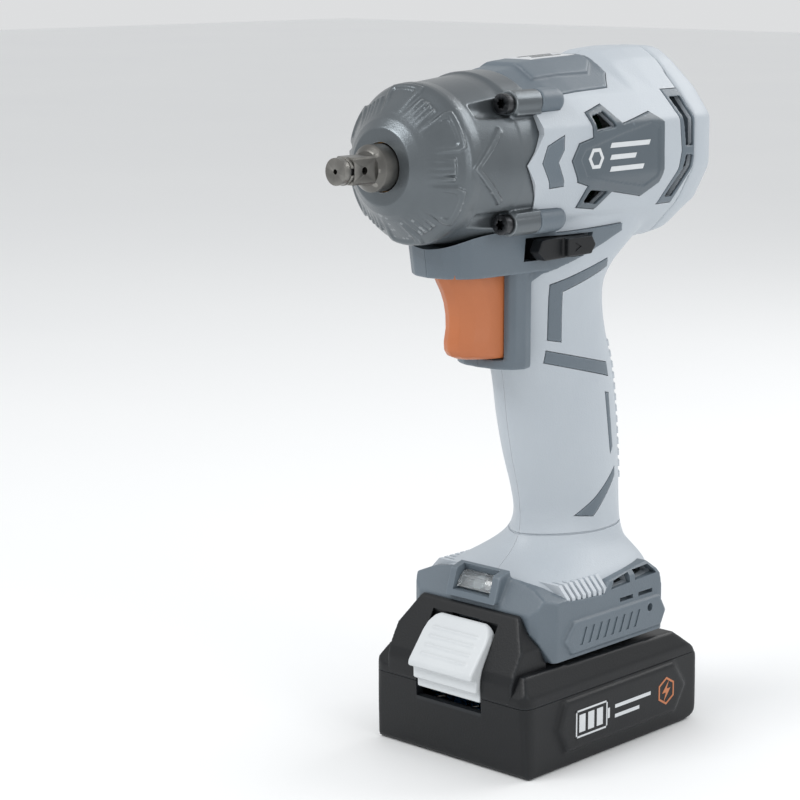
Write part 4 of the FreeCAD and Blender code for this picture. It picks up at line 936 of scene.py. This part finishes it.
# foot skirt; side outlines are (y, z), front ones (x, z)
skirt = {
    "side": [(-31.0, 39.2), (-37.6, 50.8), (-37.6, 57.6), (-31.0, 68.6), (-27.0, 66.0), (-22.0, 61.6),
             (-1.5, 60.3), (24.7, 65.6), (30.0, 60.8), (32.8, 61.0), (34.2, 55.2), (37.2, 53.0), (37.5, 41.5),
             (35.0, 39.2)],
    "crown": [(-36.0, 30.0), (-36.0, 61.5), (-25.0, 66.4), (-13.0, 68.8), (13.0, 68.8), (25.0, 66.4),
              (36.0, 61.5), (36.0, 30.0)],
    # the raised part round the foot's vents
    "high": [(-1.2, 56.0), (-1.2, 60.6), (0.8, 64.8), (27.4, 67.4), (32.6, 61.8), (32.6, 56.0)],
    "rim": [(-35.4, 50.0), (-35.4, 63.0), (-30.0, 69.0), (30.0, 69.0), (35.4, 63.0), (35.4, 50.0)],
    "lampFrame": [(-39.6, 59.4), (-36.4, 69.4), (-30.4, 71.0), (-29.0, 60.0)],
    "lampRoom": [(-41.0, 61.6), (-36.0, 74.0), (-34.4, 74.0), (-31.2, 68.4), (-30.0, 64.2), (-30.0, 61.6)],
    "panel": [(-22.0, 41.4), (-26.4, 47.0), (-21.0, 53.4), (31.0, 53.4), (35.0, 47.0), (32.0, 41.4)],
    "hatchBars": 8, "hatchPitch": 4.6, "voxel": 0.6,
}


def skirtPlan(half, corner, front=-38.5, rear=38.0):
    right = [(half - corner, front), (half - corner * 0.42, front + corner * 0.3), (half, front + corner),
             (half, rear - corner / 2), (half - corner / 2, rear)]
    return shape(prism, "Z", bothHalves(right), 30, 80)


def makeSkirt():
    def slots(bm):
        for low, high in bothSides(26.0, 40.0):
            for outline in footVents:
                prism(bm, "X", outline, low, high)
        for low, high in bothSides(30.0, 40.0):
            box(bm, (low, 7.6, 55.2), (high, 15.6, 56.8))
            box(bm, (low, 19.0, 55.2), (high, 27.7, 56.8))
        for low, high in bothSides(33.0, 40.0):
            rod(bm, "X", 1.6, low, high, 24.5, 50.0, 24)

    def hatch(bm):
        for low, high in bothSides(35.5, 40.0):
            for step in range(skirt["hatchBars"]):
                y = -18.0 + skirt["hatchPitch"] * step
                prism(bm, "X", [(y, 44.2), (y + 1.6, 44.2), (y + 4.2, 50.6), (y + 2.6, 50.6)], low, high)
    block = within(built("skirt", shape(prism, "X", skirt["side"], -40.0, 40.0)), skirtPlan(34.4, 9.0))
    within(block, shape(prism, "Y", skirt["crown"], -60, 60))
    high = within(built("high", shape(prism, "X", skirt["high"], -34.4, 34.4)),
                  shape(prism, "Y", skirt["rim"], -60, 60))
    boolean(block, high, "UNION")
    joined(block, shape(prism, "X", skirt["lampFrame"], -12.4, 12.4))
    panel = within(built("panel", shape(prism, "X", skirt["panel"], -35.9, 35.9)), skirtPlan(35.9, 6.0))
    boolean(block, panel, "UNION")
    softened(block, skirt["voxel"], 3)
    nearForm(block, 0.12)
    return shaded(carved(block, shape(footBody, 0.1), footRooms,
                         shape(prism, "X", skirt["lampRoom"], -9.0, 9.0), slots, hatch))


carried(makeSkirt(), "housing", "dark_grey_plastic", "foot_skirt")
print("skirt")


# work light: a clear window over a round optic, outlines (y, z)
lamp = {
    "outer": [(-37.0, 62.6), (-34.6, 66.6), (-31.4, 68.0), (-30.4, 64.4), (-31.4, 62.6)],
    "inner": [(-35.6, 62.0), (-33.9, 65.4), (-31.9, 66.6), (-30.0, 64.0), (-30.0, 62.0)],
    "opticPlace": (0.0, -32.9, 63.9), "opticTilt": 58, "radii": (2.9, 2.5), "thick": 1.4,
}


def makeOptic(bm):
    spot = Matrix.Translation(lamp["opticPlace"]) @ Matrix.Rotation(math.radians(lamp["opticTilt"]), 4, "X")
    wide, narrow = lamp["radii"]
    bmesh.ops.create_cone(bm, cap_ends=True, segments=48, radius1=wide, radius2=narrow, depth=lamp["thick"],
                          matrix=spot)


window = carved(built("led_window", shape(prism, "X", lamp["outer"], -8.8, 8.8)),
                shape(prism, "X", lamp["inner"], -7.8, 7.8))
carried(shaded(rounded(window, 0.25)), "housing", "clear_lens", "led_lens")
carried(shaded(built("led_optic", makeOptic)), "housing", "white_plastic")


# battery pack: black shells, raised side panels, front block
pack = {
    "profile": [(-49.0, 0.0), (-50.0, 1.2), (-51.5, 30.0), (-47.0, 38.0), (41.5, 36.5), (50.5, 29.0),
                (52.6, 25.4), (53.5, 3.8), (51.0, 1.0), (46.8, 0.0)],
    "plan": [(34.4, -51.5), (36.6, -50.6), (37.7, -48.8), (38.0, -46.6), (38.0, 51.8), (37.4, 53.1),
             (36.0, 53.5)],
    "panel": [(-29.0, 6.3), (-34.0, 15.5), (-30.0, 25.4), (36.6, 25.6), (43.7, 15.5), (37.7, 6.4)],
    "screws": [(-31.5, -36.0), (31.5, -36.0), (-31.5, 43.0), (31.5, 43.0)],
    # the cover's hollow, its front block in side and front outline, and the button's room
    "hollow": [(-47.0, 0.0), (-47.0, 30.0), (-44.0, 35.4), (39.5, 34.2), (47.6, 27.6), (48.6, 0.0)],
    "front": [(-51.5, 27.1), (-51.5, 34.0), (-50.4, 37.8), (-39.6, 57.2), (-37.9, 57.6), (-37.9, 50.6),
              (-31.4, 39.2), (-31.4, 27.1)],
    "face": [(-31.0, 27.1), (-31.0, 46.0), (-24.0, 57.8), (24.0, 57.8), (31.0, 46.0), (31.0, 27.1)],
    "room": [(-49.2, 0.0), (-49.2, 33.0), (-41.6, 52.4), (-40.4, 52.4), (-40.4, 36.0), (-36.0, 30.0),
             (-36.0, 0.0)],
    "slots": (-15.0, -5.0, 5.0, 15.0), "voxel": 0.8, "passes": 4,
}


def packBody(name):
    def chamfers(bm):
        for side in (-1, 1):
            prism(bm, "Y", [(side * 33.0, 39.0), (side * 39.0, 39.0), (side * 39.0, 29.0)], -60, 60)
    whole = built(name, shape(prism, "X", pack["profile"], -40.0, 40.0))
    within(whole, shape(prism, "Z", bothHalves(pack["plan"]), -5.0, 45.0))
    return carved(whole, chamfers)


def makeCaseShell():
    def holes(bm):
        box(bm, (-16.2, -60.0, 21.2), (16.2, -41.0, 53.4))
        for x, y in pack["screws"]:
            rod(bm, "Z", 3.1, -2.0, 2.7, x, y, 32)
    shell = joined(packBody("pack_case"), bothOutlines([pack["panel"]], 0.0, 37.0, 39.6))
    softened(shell, pack["voxel"], pack["passes"])
    return shaded(carved(shell, shape(box, (-60, -80, 26.85), (60, 80, 80)),
                         shape(box, (-35.4, -47.4, 2.4), (35.4, 48.6, 60)), holes))


def makePackCover():
    def slots(bm):
        for x in pack["slots"]:
            box(bm, (x - 1.3, 11.0, 33.0), (x + 1.3, 36.0, 55.0))
    shell = softened(packBody("pack_cover"), pack["voxel"], pack["passes"])
    carved(shell, shape(box, (-60, -80, -9), (60, 80, 27.1)), shape(prism, "X", pack["hollow"], -33.0, 33.0))
    front = within(built("front", shape(prism, "X", pack["front"], -31.0, 31.0)),
                   shape(prism, "Y", pack["face"], -60, -20))
    boolean(shell, softened(front, 0.7, 4), "UNION")
    # the deck and neck that slide into the foot
    joined(shell, shape(box, (-26.9, -37.8, 44.3), (26.9, 33.6, 51.1)),
           shape(box, (-21.7, -38.0, 34.6), (21.7, 33.5, 45.0)))
    return shaded(carved(shell, shape(prism, "X", pack["room"], -25.6, 25.6),
                         shape(box, (-16.2, -60.0, 24.0), (16.2, -41.0, 53.4)), slots,
                         shape(box, (-20.4, 29.6, 44.0), (20.4, 36.0, 55.0)),
                         shape(box, (-7.0, -42.0, 34.0), (7.0, -37.0, 53.6)),
                         shape(box, (-19.0, -30.0, 20.0), (19.0, 27.0, 42.0))))


carried(makeCaseShell(), "battery", "black_plastic", "battery_case")
carried(makePackCover(), "battery", "black_plastic", "battery_cover")


# release button with four finger ridges
button = {
    "side": [(-42.0, 53.0), (-43.6, 52.6), (-56.4, 36.6), (-56.6, 34.4), (-53.6, 33.6), (-53.6, 29.0),
             (-51.2, 28.4), (-51.2, 25.0), (-47.0, 25.0), (-42.0, 40.0)],
    "face": [(-15.8, 24.0), (-15.8, 46.6), (-15.2, 49.4), (-13.4, 51.8), (-10.6, 53.1)],
    "ridges": 4, "pitch": (-2.3, -2.87),
}


def makeButton():
    def ridges(bm):
        dy, dz = button["pitch"]
        for step in range(button["ridges"]):
            rod(bm, "X", 0.75, -11.0, 11.0, -46.9 + dy * step, 48.0 + dz * step, 24)
    block = within(built("button", shape(prism, "X", button["side"], -15.8, 15.8)),
                   shape(prism, "Y", bothHalves(button["face"]), -60.0, -40.0))
    softened(block, 0.4, 9)
    joined(block, ridges)
    return shaded(softened(block, 0.35, 3), 40.0)


carried(makeButton(), "release_button", "white_plastic", "release_button")
print("battery")


# inner and small parts keep their CAD meshes, eased where an edge would catch light
kept = {"anvil": 0.25, "friction_ring": 0.1, "case_bolts": 0.25, "rear_cap_screws": 0.15,
        "battery_screws": 0.15}
for subpart in frame["record"]["subparts"]:
    node = frame["nodes"][subpart["node"]]
    dress(node, looks[subpart["material_slot"]])
    if subpart["node"] in kept:
        weld = node.modifiers.new("weld", "WELD")
        weld.merge_threshold = 0.002 * mm
        edge = node.modifiers.new("edge", "BEVEL")
        edge.width = kept[subpart["node"]] * mm
        edge.segments = 2
        edge.angle_limit = math.radians(35)
        node.data.shade_smooth()
        node.data.set_sharp_from_angle(angle=math.radians(35))


# print: plain marks that say nothing
marks = {
    "barTops": (228.2, 4.3), "bars": (20.5, 12.5, 17.0),
    "packFace": (39.3, 39.68),
    # the pictogram's frame: y span, z span, line width
    "cell": ((-24.0, -6.0), (10.6, 20.6), 0.7),
    "bolt": [(32.6, 19.8), (28.4, 15.2), (30.8, 15.2), (29.4, 11.6), (33.6, 16.6), (31.2, 16.6)],
}


def ringMark(bm, y, z, outer, inner, low, high, start=0.0, count=6):
    def ring(radius):
        return [(y + radius * math.cos(start + 2 * math.pi * k / count),
                 z + radius * math.sin(start + 2 * math.pi * k / count)) for k in range(count)]
    outside, inside = ring(outer), ring(inner)
    for k in range(count):
        n = (k + 1) % count
        prism(bm, "X", [outside[k], outside[n], inside[n], inside[k]], low, high)


def plateMarks(bm):
    top, step = marks["barTops"]
    for low, high in bothSides(25.0, 42.0):
        ringMark(bm, -9.6, 224.0, 4.2, 2.7, low, high)
        for row, right in enumerate(marks["bars"]):
            z = top - step * row
            prism(bm, "X", [(-2.0, z - 0.9), (right, z - 0.9), (right + 0.9, z + 0.9), (-1.1, z + 0.9)],
                  low, high)


def packMarks(bm):
    (left, right), (bottom, top), line = marks["cell"]
    half = line / 2
    for low, high in bothSides(*marks["packFace"]):
        for y in (left, right):
            box(bm, (low, y - half, bottom - half), (high, y + half, top + half))
        for z in (bottom, top):
            box(bm, (low, left - half, z - half), (high, right + half, z + half))
        box(bm, (low, -5.4, 13.6), (high, -4.2, 17.6))
        for k in range(3):
            box(bm, (low, -22.4 + 5.2 * k, 12.2), (high, -18.8 + 5.2 * k, 19.0))
        for row, reach in enumerate((21.0, 14.0)):
            box(bm, (low, -1.0, 16.6 - 3.8 * row), (high, reach, 18.0 - 3.8 * row))


def boltMarks(bm):
    for low, high in bothSides(*marks["packFace"]):
        ringMark(bm, 31.0, 15.8, 5.6, 4.7, low, high, math.pi / 6)
        prism(bm, "X", marks["bolt"], low, high)


def labelMarks(bm):
    for row, reach in enumerate((4.6, 3.0, 4.0)):
        box(bm, (-3.6 + 2.8 * row, -reach * 2.4, 250.0), (-2.4 + 2.8 * row, reach * 1.6, 270.0))


carried(inlay("plate_marks", plateMarks, 0.24, -0.1), "housing", "white_plastic", material=ink)
carried(built("pack_marks", packMarks), "battery", "white_plastic", material=ink)
carried(built("pack_bolt", boltMarks), "battery", "orange_plastic")
carried(inlay("label_marks", labelMarks, 1.68, -1.5), "housing", "black_plastic")
bpy.data.objects.remove(bodyForm)
print("marks")


# floor, light and world
stage = {"floorHalf": 6.0, "floorDrop": -0.0004, "worldTint": (0.98, 0.99, 1.0, 1.0), "worldStrength": 0.74}
floorMesh = bmesh.new()
bmesh.ops.create_grid(floorMesh, x_segments=1, y_segments=1, size=stage["floorHalf"])
floorData = bpy.data.meshes.new("floor")
floorMesh.to_mesh(floorData)
floorMesh.free()
floor = bpy.data.objects.new("floor", floorData)
scene.collection.objects.link(floor)
floor.location.z = stage["floorDrop"]
dress(floor, floorBoard)

world = bpy.data.worlds.new("studio")
world.use_nodes = True
world.node_tree.nodes["Background"].inputs["Color"].default_value = stage["worldTint"]
world.node_tree.nodes["Background"].inputs["Strength"].default_value = stage["worldStrength"]
scene.world = world


def areaLight(name, spot, size, power, target=(0.0, 0.0, 0.14)):
    data = bpy.data.lights.new(name, "AREA")
    data.shape = "RECTANGLE"
    data.size, data.size_y = size
    data.energy = power
    light = bpy.data.objects.new(name, data)
    scene.collection.objects.link(light)
    aim = (Vector(target) - Vector(spot)).to_track_quat("-Z", "Y").to_matrix().to_4x4()
    light.matrix_world = Matrix.Translation(spot) @ aim


areaLight("key", (-0.35, -0.95, 1.05), (0.7, 0.5), 8.0)
areaLight("side", (1.15, -0.1, 0.55), (0.5, 0.8), 2.8)
areaLight("rim", (0.2, 0.9, 0.8), (0.8, 0.4), 4.0)
scene.view_settings.view_transform = "Standard"
print("stage set")
